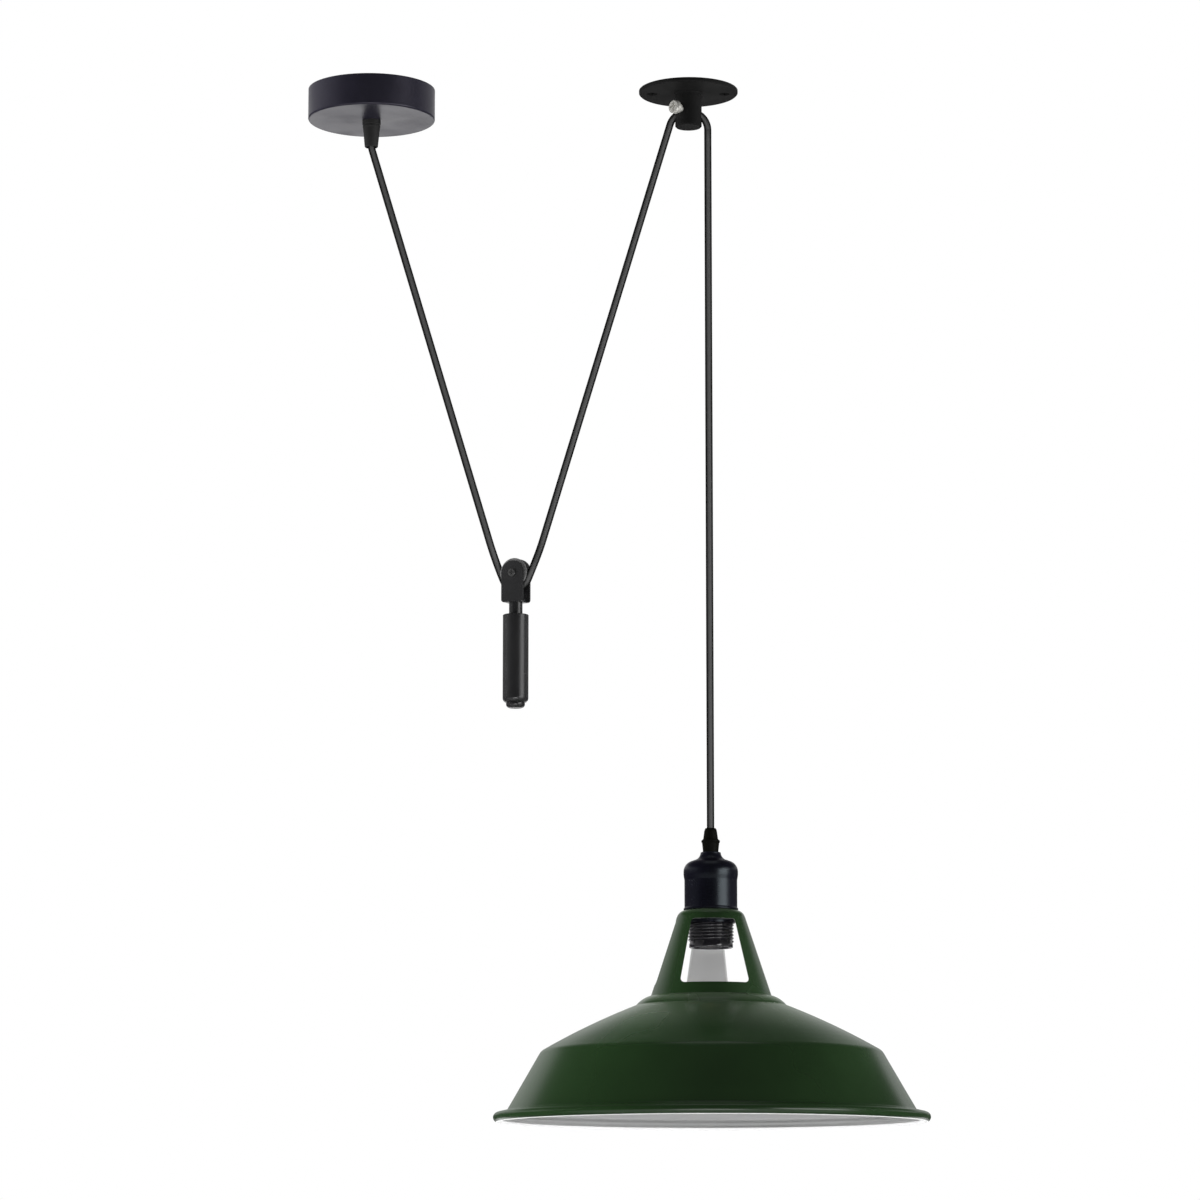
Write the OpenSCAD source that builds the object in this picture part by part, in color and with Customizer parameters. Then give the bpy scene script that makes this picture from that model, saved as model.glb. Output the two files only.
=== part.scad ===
// Rise and fall pendant: a metal shade that hangs on a cord, a counterweight
// that rides on the same cord by a small pulley, a ceiling canopy and a hook.
// Millimetres. Z = 0 is the ceiling and X = Y = 0 the axis of the hook's hub.

/* [Layout] */
// Distance from the hook's hub axis to the canopy's axis
canopy_offset = 263; // [220:1:330]
// Depth of the pulley's axle below the ceiling
wheel_drop = 406.8; // [320:0.2:470]
// Depth of the shade's top face below the ceiling
shade_top_drop = 682; // [640:1:900]
// Turn of the hanging pulley about the vertical, in degrees
pulley_turn = 28; // [0:1:32]

/* [Cord] */
// Diameter of the braided cord
cord_d = 6; // [5:0.1:6.6]
// Diameter of one insulated core inside the cord
core_d = 1.8; // [1.5:0.1:2]
// Radial room that the cord has in the bores that it passes
cord_gap = 0.5; // [0.35:0.05:0.7]

/* [Canopy] */
// Outside diameter of the ceiling canopy
canopy_d = 105; // [96:1:130]
// Height of the ceiling canopy
canopy_h = 26; // [24:0.5:34]
// Sheet thickness of the canopy
canopy_wall = 1.2; // [0.8:0.1:2]
// Radius of the canopy's lower edge
canopy_edge_r = 1.5; // [0.5:0.1:3]
// Room between each end of the fixing strap and the canopy's wall
strap_room = 8; // [3:0.5:10]
// Width of the fixing strap
strap_w = 16; // [15:0.5:20]
// Sheet thickness of the fixing strap
strap_t = 1.5; // [1:0.1:2]
// Distance between the two fixing slots
slot_spacing = 60; // [52:1:66]
// Length of a fixing slot, end to end
slot_l = 10; // [6:0.5:12]
// Width of a fixing slot
slot_w = 4.5; // [3.5:0.1:5]
// Length of the tapered cap that grips the cord below the canopy
canopy_cap_l = 18; // [15:0.5:24]
// Height of the collar between the canopy and its cap
canopy_collar_h = 4.6; // [3.5:0.1:7]

/* [Hook] */
// Diameter of the ceiling plate
plate_d = 82; // [74:1:95]
// Thickness of the ceiling plate
plate_t = 3.2; // [2.4:0.1:4]
// Diameter of the hub below the plate
hub_d = 22; // [20:0.5:25]
// Length of the hub below the plate
hub_l = 28.5; // [27:0.5:34]
// Radius of the cord's centre line over the hub
saddle_r = 16; // [14.5:0.5:18]
// Distance between the two fixing screws
hook_spacing = 60; // [54:1:64]
// Shank diameter of a fixing screw
hook_shank_d = 4; // [3:0.1:4.5]
// Length of a fixing screw's shank above the plate
hook_shank_l = 7; // [6:0.5:10]
// Thread diameter of the screw that clamps the cord
clamp_d = 6; // [5:0.1:6.4]
// Head diameter of the clamp screw
clamp_head_d = 11; // [8:0.1:12]
// Diameter of the clamp screw's shoulder under its head
clamp_shoulder_d = 7.8; // [6.8:0.1:7.8]
// Distance from the hub's axis to the clamp screw's face
clamp_reach = 20.4; // [18:0.1:26]

/* [Pulley] */
// Radius of the cord's centre line round the wheel
wrap_r = 12.7; // [11:0.1:15.3]
// Height of the wheel's flange above the bottom of its groove
flange_rise = 2.8; // [2:0.1:3.2]
// Width of the wheel
wheel_w = 9; // [8.6:0.1:10]
// Diameter of the axle
axle_d = 4; // [3:0.1:5]
// Half of the yoke plates' width, which is also their top radius
yoke_r = 9.9; // [8.5:0.1:11]
// Depth of the yoke's lower face below the axle
yoke_drop = 24.1; // [22:0.1:28]
// Sheet thickness of the yoke
yoke_t = 2; // [1.5:0.1:2.5]

/* [Counterweight] */
// Diameter of the weight
weight_d = 21; // [18:0.5:26]
// Length of the weight
weight_l = 72.4; // [55:0.2:100]
// Diameter of the stem between yoke and weight
stem_d = 11; // [9:0.1:12]
// Length of the stem
stem_l = 8.9; // [6:0.1:20]
// Diameter of the nut under the weight
end_nut_d = 15.4; // [13:0.1:17]
// Height of the nut under the weight
end_nut_h = 4.2; // [4:0.1:7]

/* [Lampholder] */
// Outside diameter of the cover's skirt
cover_d = 42.6; // [41:0.1:46]
// Height of the cover's straight skirt
cover_skirt_h = 31; // [30:0.5:38]
// Sheet thickness of the cover
cover_wall = 1; // [0.7:0.1:1.2]
// Outside diameter of the threaded skirt below the shade's top
skirt_d = 36.6; // [35:0.1:37]
// Depth of the threaded skirt below the shade's top
skirt_drop = 30.4; // [28:0.1:34]
// Pitch of the ridges on the threaded skirt
ridge_pitch = 2.6; // [2:0.1:4]
// Inside diameter of the lamp's screw shell
shell_bore = 26.8; // [26.6:0.1:27]
// Length of the screw shell
shell_l = 22; // [20:0.5:23]

/* [Shade] */
// Outside diameter over the rolled rim
shade_d = 350; // [290:1:420]
// Overall height of the shade
shade_h = 170; // [165:1:215]
// Sheet thickness of the shade
shade_wall = 1; // [0.8:0.1:1.2]
// Radius of the rolled rim
rim_r = 4; // [3.5:0.1:5]
// Height of the steep side above the rim, up to the knee
side_h = 47; // [36:1:58]
// Angle of the steep side from the horizontal
side_angle = 60; // [55:1:70]
// Radius of the knee between side and slope
knee_r = 10; // [6:0.5:14]
// Rise of the slope's gentle crown between knee and neck
slope_crown = 1.5; // [0.5:0.1:4]
// Height of the neck's foot above the rim
neck_foot_h = 101; // [94:1:112]
// Outside radius of the neck at its foot
neck_foot_r = 48.5; // [44:0.5:54]
// Height of a cooling window's lower edge above the neck's foot
window_sill = 8.5; // [8:0.5:15]
// Height of a cooling window
window_h = 52; // [36:1:54]
// Half width of a window at its lower edge, in degrees round the neck
window_half_angle = 37.5; // [30:0.5:40]
// Number of cooling windows
window_count = 3; // [2:1:4]
// Turn of the first window from the front, in degrees
window_turn = 3; // [0:1:20]

/* [Hidden] */
$fn = 96;

// Fits, as radial room
run_fit = 0.05;
thread_fit = 0.1;
hole_fit = 0.3;
body_gap = 0.35;

black_satin = [0.14, 0.14, 0.16];
black_gloss = [0.07, 0.07, 0.09];
black_cord = [0.2, 0.2, 0.2];
green_enamel = [0.13, 0.25, 0.12];
nickel = [0.8, 0.8, 0.78];
zinc = [0.66, 0.67, 0.69];
brass = [0.78, 0.62, 0.3];
ceramic = [0.9, 0.89, 0.86];

cord_r = cord_d / 2;
bore_r = cord_r + cord_gap;
core_r = core_d / 2;

// The M10 tubes that carry the cord at both ends
nipple_r = 4.9;
nipple_bore_r = bore_r;
nut_flats = 14;
nut_h = 4;

// Canopy levels, from the ceiling down
canopy_x = -canopy_offset;
strap_l = canopy_d - 2 * canopy_wall - 2 * strap_room;
strap_well = slot_spacing / 2 - slot_l / 2 - 3;
strap_drop = 17;
nipple_top_z = -11.5;
sheath_end_z = -10;
collar_top_z = -canopy_h;
cap_top_z = collar_top_z - canopy_collar_h;
cap_end_z = cap_top_z - canopy_cap_l;
leg_start_z = cap_end_z + 2.6;
canopy_collar_r = 7.6;
cap_top_r = 7;
cap_end_r = 5.5;
canopy_nipple_end_z = cap_top_z - 6;
block = [20, 14, 14];
block_y = 15;
block_top_z = -canopy_h + canopy_wall + block[2];
block_hole_z = block_top_z - 5;
block_screws = [3.5, 10.5];
earth_head_r = 2.8;
earth_x = (nut_flats / 2 + strap_well) / 2 + 0.4;

// The saddle that the cord takes through the hub
hub_end_z = -plate_t - hub_l;
saddle_z = -34;
lamp_x = saddle_r;
swing_angle = 13;
swing_gap = 0.25;
swing_tip_r = 0.9;
clamp_angle = -129;
clamp_z = saddle_z + saddle_r;
clamp_head_h = 4;
clamp_tip_r = 0.8;
clamp_neck_end = clamp_reach - clamp_head_h;
clamp_shoulder_start = min(hub_d / 2 + 1.6, clamp_neck_end - 1);

// The pulley hangs where both legs of the cord make the same angle
knee_reach = wrap_r + 0.5;
leg_h_sum = 2 * wheel_drop + cap_end_z + saddle_z;
function leg_angle(a, n) = n == 0 ? a
    : leg_angle(atan((canopy_offset - saddle_r * cos(a) - 2 * knee_reach / cos(a))
        / (leg_h_sum + saddle_r * sin(a))), n - 1);
lean = leg_angle(17, 6);
wheel_x = canopy_x + (wheel_drop + cap_end_z) * tan(lean) + knee_reach / cos(lean);
wheel_z = -wheel_drop;
wrap_start = 25;
knee_h = 28;
knee_y = 1.6;
bend_pull = 12;

groove_r = cord_r + body_gap;
groove_bottom_r = wrap_r - groove_r;
flange_r = groove_bottom_r + flange_rise;
bush_wall = 1.2;
bush_r = axle_d / 2 + run_fit + bush_wall;
yoke_in = wheel_w / 2 + 0.35;
yoke_out = yoke_in + yoke_t;
yoke_corner_r = 2.4;
axle_head_r = 3.3;
axle_head_h = 1.1;
axle_nut_flats = 6.6;
axle_nut_h = 1.6;
rod_r = 2.5;
rod_head_r = 4;
rod_head_h = 2;
stem_ring_h = 1.2;

stem_top_z = wheel_z - yoke_drop;
ring_top_z = stem_top_z - stem_l;
weight_top_z = ring_top_z - stem_ring_h;
weight_end_z = weight_top_z - weight_l;
weight_edge_r = 4;
nut_round_r = 3.2;

// Lamp levels, from the shade's top face
top_z = -shade_top_drop;
rim_z = top_z - shade_h;
cover_r = cover_d / 2;
cover_shoulder_r = 9;
cover_flare_r = 7;
cover_collar_r = 7.8;
cover_collar_top = cover_skirt_h + 16;
cover_top_z = top_z + cover_collar_top;
grip_bead_z = cover_top_z + 8.8;
grip_split_z = cover_top_z + 10.1;
grip_top_z = cover_top_z + 19.3;
grip_bead_r = 7.5;
dome_r = cover_r - cover_wall - 1.2;
dome_wall = 2;
dome_top_z = top_z + cover_skirt_h + 4.5;
dome_top_t = 5;
flange_h = 3;
skirt_r = skirt_d / 2;
ridge_depth = 0.9;
shell_r = shell_bore / 2;
shell_wall = 0.5;
shell_out_r = shell_r + shell_wall;
skirt_bore_r = shell_out_r + 0.9;
shell_end_z = top_z - skirt_drop + 2.2;
shell_top_z = shell_end_z + shell_l;
insert_t = 8;
insert_top_z = shell_top_z + insert_t;
ring_h = 9.5;
ring_r = skirt_d / 2 + 2.4;
lamp_nipple_top_z = cover_top_z + 7;
lamp_nipple_end_z = dome_top_z - dome_top_t;
lamp_sheath_end_z = lamp_nipple_end_z - 2;
terminal_r = 8.5;
contact_room = 3;
neck_shoulder_r = 8.2;
neck_top_r = cover_r + 6.2;

function arc(c, r, a0, a1, n = 12) =
    [for (i = [0:n]) let (a = a0 + (a1 - a0) * i / n) [c[0] + r * cos(a), c[1] + r * sin(a)]];

function unit(v) = v / norm(v);

// A cubic curve between two points with the given pulls at its ends
function curve(a, pull_a, pull_b, b, n) =
    [for (i = [0:n]) let (t = i / n, s = 1 - t)
        s * s * s * a + 3 * s * s * t * (a + pull_a) + 3 * s * t * t * (b - pull_b) + t * t * t * b];

// A round tube of radius r along the points, closed at both ends
module tube_along(path, r, sides, side_axis, start_dir, end_dir) {
    last = len(path) - 1;
    function heading(i) = i == 0 ? unit(start_dir) : i == last ? unit(end_dir)
        : unit(unit(path[i + 1] - path[i]) + unit(path[i] - path[i - 1]));
    rings = [for (i = [0:last]) let (t = heading(i), u = unit(cross(side_axis, t)), v = cross(t, u))
        for (k = [0:sides - 1]) path[i] + r * (cos(360 * k / sides) * u + sin(360 * k / sides) * v)];
    walls = [for (i = [0:last - 1]) for (k = [0:sides - 1])
        let (a = i * sides + k, b = i * sides + (k + 1) % sides)
        for (f = [[a, a + sides, b + sides], [a, b + sides, b]]) f];
    lid_a = [for (k = [1:sides - 2]) [0, k, k + 1]];
    lid_b = [for (k = [1:sides - 2]) [last * sides, last * sides + k + 1, last * sides + k]];
    polyhedron(points = rings, faces = concat(walls, lid_a, lid_b), convexity = 4);
}

module at_canopy() {
    translate([canopy_x, 0, 0]) children();
}

module at_lamp() {
    translate([lamp_x, 0, 0]) children();
}

module at_wheel() {
    translate([wheel_x, 0, wheel_z]) rotate([0, 0, -pulley_turn]) children();
}

module at_clamp() {
    translate([0, 0, clamp_z]) rotate([0, 0, clamp_angle]) rotate([0, 90, 0]) children();
}

module ring(r_out, r_in, h) {
    difference() {
        cylinder(r = r_out, h = h);
        translate([0, 0, -1]) cylinder(r = r_in, h = h + 2);
    }
}

module hex(flats, h) {
    rotate([0, 0, 30]) cylinder(r = flats / 2 / cos(30), h = h, $fn = 6);
}

module hex_nut(flats, r_in, h) {
    difference() {
        hex(flats, h);
        translate([0, 0, -1]) cylinder(r = r_in, h = h + 2);
    }
}

module cross_recess(size, width, depth) {
    for (a = [0, 90]) rotate([0, 0, a])
        translate([-size / 2, -width / 2, 0]) cube([size, width, depth]);
}

// ---- Canopy ----

module canopy_cup() {
    r = canopy_d / 2;
    color(black_satin) at_canopy() rotate_extrude() polygon(concat(
        [[nipple_r + hole_fit, -canopy_h]],
        arc([r - canopy_edge_r, -canopy_h + canopy_edge_r], canopy_edge_r, -90, 0, 8),
        [[r, 0], [r - canopy_wall, 0], [r - canopy_wall, -canopy_h + canopy_wall + 1],
        [r - canopy_wall - 1, -canopy_h + canopy_wall], [nipple_r + hole_fit, -canopy_h + canopy_wall]]));
}

module canopy_bracket() {
    floor_z = -strap_drop;
    color(zinc) at_canopy() difference() {
        translate([0, strap_w / 2, 0]) rotate([90, 0, 0]) linear_extrude(strap_w) polygon([
            [-strap_l / 2, 0], [-strap_well, 0], [-strap_well, floor_z], [strap_well, floor_z],
            [strap_well, 0], [strap_l / 2, 0], [strap_l / 2, -strap_t], [strap_well + strap_t, -strap_t],
            [strap_well + strap_t, floor_z - strap_t], [-strap_well - strap_t, floor_z - strap_t],
            [-strap_well - strap_t, -strap_t], [-strap_l / 2, -strap_t]]);
        translate([0, 0, floor_z - 5]) cylinder(r = nipple_r + hole_fit, h = 10);
        translate([earth_x, 0, floor_z - 5]) cylinder(r = 1.5, h = 10);
        for (s = [-1, 1]) for (e = [-1, 1])
            translate([s * slot_spacing / 2 + e * (slot_l - slot_w) / 2, 0, -5]) cylinder(d = slot_w, h = 10);
        for (s = [-1, 1]) translate([s * slot_spacing / 2 - (slot_l - slot_w) / 2, -slot_w / 2, -5])
            cube([slot_l - slot_w, slot_w, 10]);
    }
}

module canopy_nipple() {
    color(zinc) at_canopy() translate([0, 0, canopy_nipple_end_z])
        ring(nipple_r, nipple_bore_r, nipple_top_z - canopy_nipple_end_z);
}

module canopy_locknut() {
    color(zinc) at_canopy() translate([0, 0, -strap_drop]) hex_nut(nut_flats, nipple_r + thread_fit, nut_h);
}

module canopy_grip_collar() {
    color(black_gloss) at_canopy() rotate_extrude() polygon([
        [nipple_r + thread_fit, collar_top_z], [canopy_collar_r, collar_top_z],
        [canopy_collar_r, cap_top_z + 1.4], [canopy_collar_r - 0.5, cap_top_z + 0.9],
        [canopy_collar_r - 0.5, cap_top_z], [nipple_r + thread_fit, cap_top_z]]);
}

module canopy_grip_cap() {
    color(black_gloss) at_canopy() rotate_extrude() polygon([
        [nipple_r + thread_fit, cap_top_z], [cap_top_r + 0.3, cap_top_z], [cap_top_r + 0.3, cap_top_z - 1.2],
        [cap_top_r, cap_top_z - 1.8], [cap_end_r, cap_end_z + 0.5], [cap_end_r - 0.4, cap_end_z],
        [bore_r + 0.9, cap_end_z], [bore_r, cap_end_z + 3.4], [bore_r, canopy_nipple_end_z - 1],
        [nipple_r + thread_fit, canopy_nipple_end_z - 1]]);
}

module terminal_block() {
    color("white") at_canopy() difference() {
        translate([-block[0] / 2, block_y, block_top_z - block[2]]) cube(block);
        for (s = [-1, 1]) {
            translate([s * block[0] / 4, block_y - 1, block_hole_z]) rotate([-90, 0, 0])
                cylinder(r = core_r + hole_fit, h = block[1] + 2);
            for (y = block_screws) translate([s * block[0] / 4, block_y + y, block_hole_z])
                cylinder(r = 1.6, h = 6);
        }
    }
}

module terminal_screws() {
    color(brass) at_canopy() for (s = [-1, 1]) for (y = block_screws)
        translate([s * block[0] / 4, block_y + y, block_hole_z + core_r + hole_fit]) difference() {
            cylinder(r = 1.5, h = 3.4);
            translate([-2, -0.3, 2.6]) cube([4, 0.6, 2]);
        }
}

module earth_screw() {
    color(brass) at_canopy() translate([earth_x, 0, -strap_drop]) difference() {
        union() {
            translate([0, 0, -3.5]) cylinder(r = 1.45, h = 4);
            cylinder(r = earth_head_r, h = 1.8);
        }
        translate([-3, -0.35, 1]) cube([6, 0.7, 2]);
    }
}

// Cores rise from the sheath's end, cross the strap and enter their terminals
module canopy_core(x0, x1) {
    start = [x0, 0.6, sheath_end_z];
    end = [x1, block_y, block_hole_z];
    path = concat(curve(start, [0, 0, 7], [0, 5, -1], end, 12), [end + [0, block_screws[0], 0]]);
    at_canopy() tube_along(path, core_r, 8, [1, 0, 0], [0, 0, 1], [0, 1, 0]);
}

module canopy_live_core() {
    color("sienna") canopy_core(-1.1, -block[0] / 4);
}

module canopy_neutral_core() {
    color("steelblue") canopy_core(1.1, block[0] / 4);
}

module canopy_earth_core() {
    start = [0, -1.3, sheath_end_z];
    end = [earth_x - earth_head_r - core_r - 0.5, 0, -strap_drop + 0.4];
    color("yellowgreen") at_canopy() tube_along(curve(start, [0, 0, 8], [1.2, 0, -5], end, 12), core_r, 8,
        [0, 1, 0], [0, 0, 1], [0, 0, -1]);
}

module cord_in_canopy() {
    color(black_cord) at_canopy() translate([0, 0, leg_start_z])
        cylinder(r = cord_r, h = sheath_end_z - leg_start_z);
}

// ---- Cord ----

// The two ends of the wrap, where the cord meets the wheel
function wheel_point(side) = let (u = side * wrap_r * cos(wrap_start))
    [wheel_x + u * cos(pulley_turn), -u * sin(pulley_turn), wheel_z - wrap_r * sin(wrap_start)];

function wheel_dir(side) = let (u = -side * sin(wrap_start))
    [u * cos(pulley_turn), -u * sin(pulley_turn), -cos(wrap_start)];

function knee_point(side) =
    [wheel_x + side * (knee_reach / cos(lean) + knee_h * tan(lean)), -side * knee_y, wheel_z + knee_h];

module cord_left_leg() {
    start = [canopy_x, 0, leg_start_z];
    turn = [canopy_x + 4.4 * tan(lean), 0, cap_end_z - 4.4];
    knee = knee_point(-1);
    run = unit(knee - turn);
    path = concat(curve(start, [0, 0, -2.6], 3 * run, turn, 4),
        curve(knee, bend_pull * run, bend_pull * wheel_dir(-1), wheel_point(-1), 10));
    color(black_cord) tube_along(path, cord_r, 12, [0, 1, 0], [0, 0, -1], wheel_dir(-1));
}

module cord_right_leg() {
    start = [-saddle_r * cos(lean), 0, saddle_z + saddle_r * sin(lean)];
    knee = knee_point(1);
    run = unit(knee - start);
    path = concat([start], curve(knee, bend_pull * run, bend_pull * wheel_dir(1), wheel_point(1), 10));
    color(black_cord) tube_along(path, cord_r, 12, [0, 1, 0], [-sin(lean), 0, -cos(lean)], wheel_dir(1));
}

module cord_over_hook() {
    color(black_cord) translate([0, 0, saddle_z]) rotate([90, 0, 0])
        rotate_extrude(angle = 180 - lean) translate([saddle_r, 0]) circle(r = cord_r);
}

module cord_round_pulley() {
    color(black_cord) at_wheel() rotate([90, 0, 0]) rotate([0, 0, 180 + wrap_start])
        rotate_extrude(angle = 180 - 2 * wrap_start) translate([wrap_r, 0]) circle(r = cord_r);
}

// The hanging cord's top is cut back as a cone, so that it can swing under the saddle
module cord_drop() {
    tip_z = saddle_z - swing_gap;
    edge_z = tip_z - (cord_r - swing_tip_r) * tan(swing_angle);
    color(black_cord) at_lamp() rotate_extrude() polygon([
        [0, grip_top_z], [cord_r, grip_top_z], [cord_r, edge_z], [swing_tip_r, tip_z], [0, tip_z]]);
}

module cord_in_lamp() {
    color(black_cord) at_lamp() translate([0, 0, lamp_sheath_end_z])
        cylinder(r = cord_r, h = grip_top_z - lamp_sheath_end_z);
}

// ---- Hook ----

module hook_plate() {
    color(black_satin) difference() {
        rotate_extrude() polygon([
            [0, 0], [plate_d / 2 - 0.4, 0], [plate_d / 2, -0.4], [plate_d / 2, -plate_t + 0.8],
            [plate_d / 2 - 0.8, -plate_t], [hub_d / 2 + 1.2, -plate_t], [hub_d / 2 + 0.8, -plate_t - 1.4],
            [hub_d / 2, -plate_t - 1.6], [hub_d / 2, hub_end_z + 1], [hub_d / 2 - 1, hub_end_z],
            [0, hub_end_z]]);
        translate([0, 0, saddle_z]) rotate([90, 0, 0]) rotate_extrude(angle = 180)
            translate([saddle_r, 0]) circle(r = bore_r);
        at_clamp() cylinder(r = clamp_d / 2 + run_fit, h = hub_d);
        for (s = [-1, 1]) translate([s * hook_spacing / 2, 0, 0]) rotate_extrude() polygon([
            [0, 1], [hook_shank_d / 2 + 0.25, 1], [hook_shank_d / 2 + 0.25, -plate_t + 2.2],
            [hook_shank_d / 2 + 2.45, -plate_t], [hook_shank_d / 2 + 2.45, -plate_t - 1],
            [0, -plate_t - 1]]);
    }
}

module hook_screws() {
    head_r = hook_shank_d / 2 + 2.1;
    neck_r = hook_shank_d / 2 - 0.2;
    color(black_satin) for (s = [-1, 1]) translate([s * hook_spacing / 2, 0, 0]) difference() {
        rotate_extrude() polygon([
            [0, hook_shank_l], [neck_r - 0.5, hook_shank_l], [hook_shank_d / 2, hook_shank_l - 1],
            [hook_shank_d / 2, 0], [neck_r, -0.2], [neck_r, -plate_t + 2.4], [head_r, -plate_t + 0.1],
            [0, -plate_t + 0.1]]);
        translate([0, 0, -plate_t - 0.5]) cross_recess(head_r * 1.2, 0.8, 1.8);
    }
}

module clamp_screw() {
    off = abs(clamp_angle + 90);
    tip = (cord_r + hole_fit + clamp_tip_r * sin(off)) / cos(off);
    slope = clamp_d / 2 - clamp_tip_r;
    color(nickel) at_clamp() difference() {
        rotate_extrude() polygon([
            [0, tip], [clamp_tip_r, tip], [clamp_d / 2, tip + slope],
            [clamp_d / 2, clamp_shoulder_start], [clamp_shoulder_d / 2 - 0.3, clamp_shoulder_start],
            [clamp_shoulder_d / 2, clamp_shoulder_start + 0.3], [clamp_shoulder_d / 2, clamp_neck_end],
            [clamp_head_d / 2 - 0.3, clamp_neck_end],
            [clamp_head_d / 2, clamp_neck_end + 0.3], [clamp_head_d / 2, clamp_reach - 0.8],
            [clamp_head_d / 2 - 0.8, clamp_reach], [0, clamp_reach]]);
        translate([0, 0, clamp_reach - 1.2]) cross_recess(clamp_head_d * 0.62, 1.2, 2);
    }
}

// ---- Pulley and counterweight ----

module yoke_plate() {
    union() {
        circle(r = yoke_r);
        polygon(concat([[-yoke_r, 0]],
            arc([-yoke_r + yoke_corner_r, -yoke_drop + yoke_corner_r], yoke_corner_r, 180, 270, 6),
            arc([yoke_r - yoke_corner_r, -yoke_drop + yoke_corner_r], yoke_corner_r, 270, 360, 6),
            [[yoke_r, 0]]));
    }
}

module pulley_yoke() {
    color(black_satin) at_wheel() difference() {
        union() {
            for (s = [-1, 1]) translate([0, s * (yoke_in + yoke_t / 2) + yoke_t / 2, 0])
                rotate([90, 0, 0]) linear_extrude(yoke_t) yoke_plate();
            translate([-yoke_r + yoke_corner_r, -yoke_in - 0.1, -yoke_drop])
                cube([2 * (yoke_r - yoke_corner_r), 2 * yoke_in + 0.2, yoke_t]);
        }
        translate([0, yoke_out + 1, 0]) rotate([90, 0, 0])
            cylinder(r = axle_d / 2 + run_fit, h = 2 * yoke_out + 2);
        translate([0, 0, -yoke_drop - 1]) cylinder(r = rod_r + thread_fit, h = yoke_t + 2);
    }
}

module pulley_axle() {
    color(black_satin) at_wheel() difference() {
        union() {
            translate([0, yoke_out + axle_nut_h + 0.8, 0]) rotate([90, 0, 0])
                cylinder(d = axle_d, h = 2 * yoke_out + axle_nut_h + 0.8);
            translate([0, -yoke_out, 0]) rotate([90, 0, 0]) rotate_extrude() polygon([
                [0, 0], [axle_head_r, 0], [axle_head_r, axle_head_h - 0.5],
                [axle_head_r - 0.6, axle_head_h], [0, axle_head_h]]);
        }
        translate([0, -yoke_out - axle_head_h + 0.7, 0]) rotate([90, 0, 0]) cross_recess(3.6, 0.9, 2);
    }
}

module axle_nut() {
    color(zinc) at_wheel() translate([0, yoke_out + axle_nut_h, 0]) rotate([90, 0, 0])
        hex_nut(axle_nut_flats, axle_d / 2 + thread_fit, axle_nut_h);
}

module axle_washers() {
    side_play = 0.08;
    t = yoke_in - wheel_w / 2 - side_play;
    color(zinc) at_wheel() for (y = [-wheel_w / 2, wheel_w / 2 + t]) translate([0, y, 0])
        rotate([90, 0, 0]) ring(axle_d / 2 + 1.6, axle_d / 2 + run_fit, t);
}

module pulley_wheel() {
    hw = wheel_w / 2;
    reach = asin((flange_r - wrap_r) / groove_r);
    groove = arc([wrap_r, 0], groove_r, 180 + 90 + reach, 180 - 90 - reach, 16);
    color(black_satin) at_wheel() rotate([90, 0, 0]) rotate_extrude() polygon(concat(
        [[bush_r, -hw], [flange_r - 0.4, -hw], [flange_r, -hw + 0.4]], groove,
        [[flange_r, hw - 0.4], [flange_r - 0.4, hw], [bush_r, hw]]));
}

module wheel_bush() {
    color(brass) at_wheel() translate([0, wheel_w / 2, 0]) rotate([90, 0, 0])
        ring(bush_r, axle_d / 2 + run_fit, wheel_w);
}

module weight_rod() {
    color(zinc) translate([wheel_x, 0, 0]) union() {
        translate([0, 0, weight_end_z - end_nut_h + 1.2])
            cylinder(r = rod_r, h = stem_top_z + yoke_t - weight_end_z + end_nut_h - 1.2);
        translate([0, 0, stem_top_z + yoke_t]) cylinder(r = rod_head_r, h = rod_head_h);
    }
}

module weight_stem() {
    color(black_satin) translate([wheel_x, 0, ring_top_z]) ring(stem_d / 2, rod_r + thread_fit, stem_l);
}

module stem_ring() {
    color(nickel) translate([wheel_x, 0, weight_top_z]) ring(stem_d / 2, rod_r + thread_fit, stem_ring_h);
}

module weight_cylinder() {
    r = weight_d / 2;
    color(black_satin) translate([wheel_x, 0, weight_end_z]) rotate_extrude() polygon(concat(
        [[rod_r + thread_fit, 0]], arc([r - weight_edge_r, weight_edge_r], weight_edge_r, -90, 0, 8),
        [[r, weight_l - 0.4], [r - 0.4, weight_l], [rod_r + thread_fit, weight_l]]));
}

module weight_end_nut() {
    r = end_nut_d / 2;
    color(black_satin) translate([wheel_x, 0, weight_end_z - end_nut_h]) rotate_extrude() polygon(concat(
        [[0, 0]], arc([r - nut_round_r, nut_round_r], nut_round_r, -90, 0, 8), [[r, end_nut_h - 0.3],
        [r - 0.3, end_nut_h], [rod_r + thread_fit, end_nut_h], [rod_r + thread_fit, 1], [0, 1]]));
}

// ---- Lampholder ----

module lamp_grip_cap() {
    color(black_gloss) at_lamp() rotate_extrude() polygon([
        [bore_r, grip_split_z], [6.2, grip_split_z], [5.9, grip_split_z + 1.2], [5.2, grip_top_z - 2.6],
        [4.7, grip_top_z - 0.9], [4.2, grip_top_z], [bore_r, grip_top_z]]);
}

module lamp_grip_body() {
    color(black_gloss) at_lamp() rotate_extrude() polygon([
        [nipple_r + thread_fit, cover_top_z], [6.2, cover_top_z], [6.9, grip_bead_z - 1.6],
        [grip_bead_r, grip_bead_z - 0.6], [grip_bead_r, grip_bead_z + 0.4], [6.6, grip_split_z],
        [bore_r, grip_split_z], [bore_r, lamp_nipple_top_z + 0.3],
        [nipple_r + thread_fit, lamp_nipple_top_z + 0.3]]);
}

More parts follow.
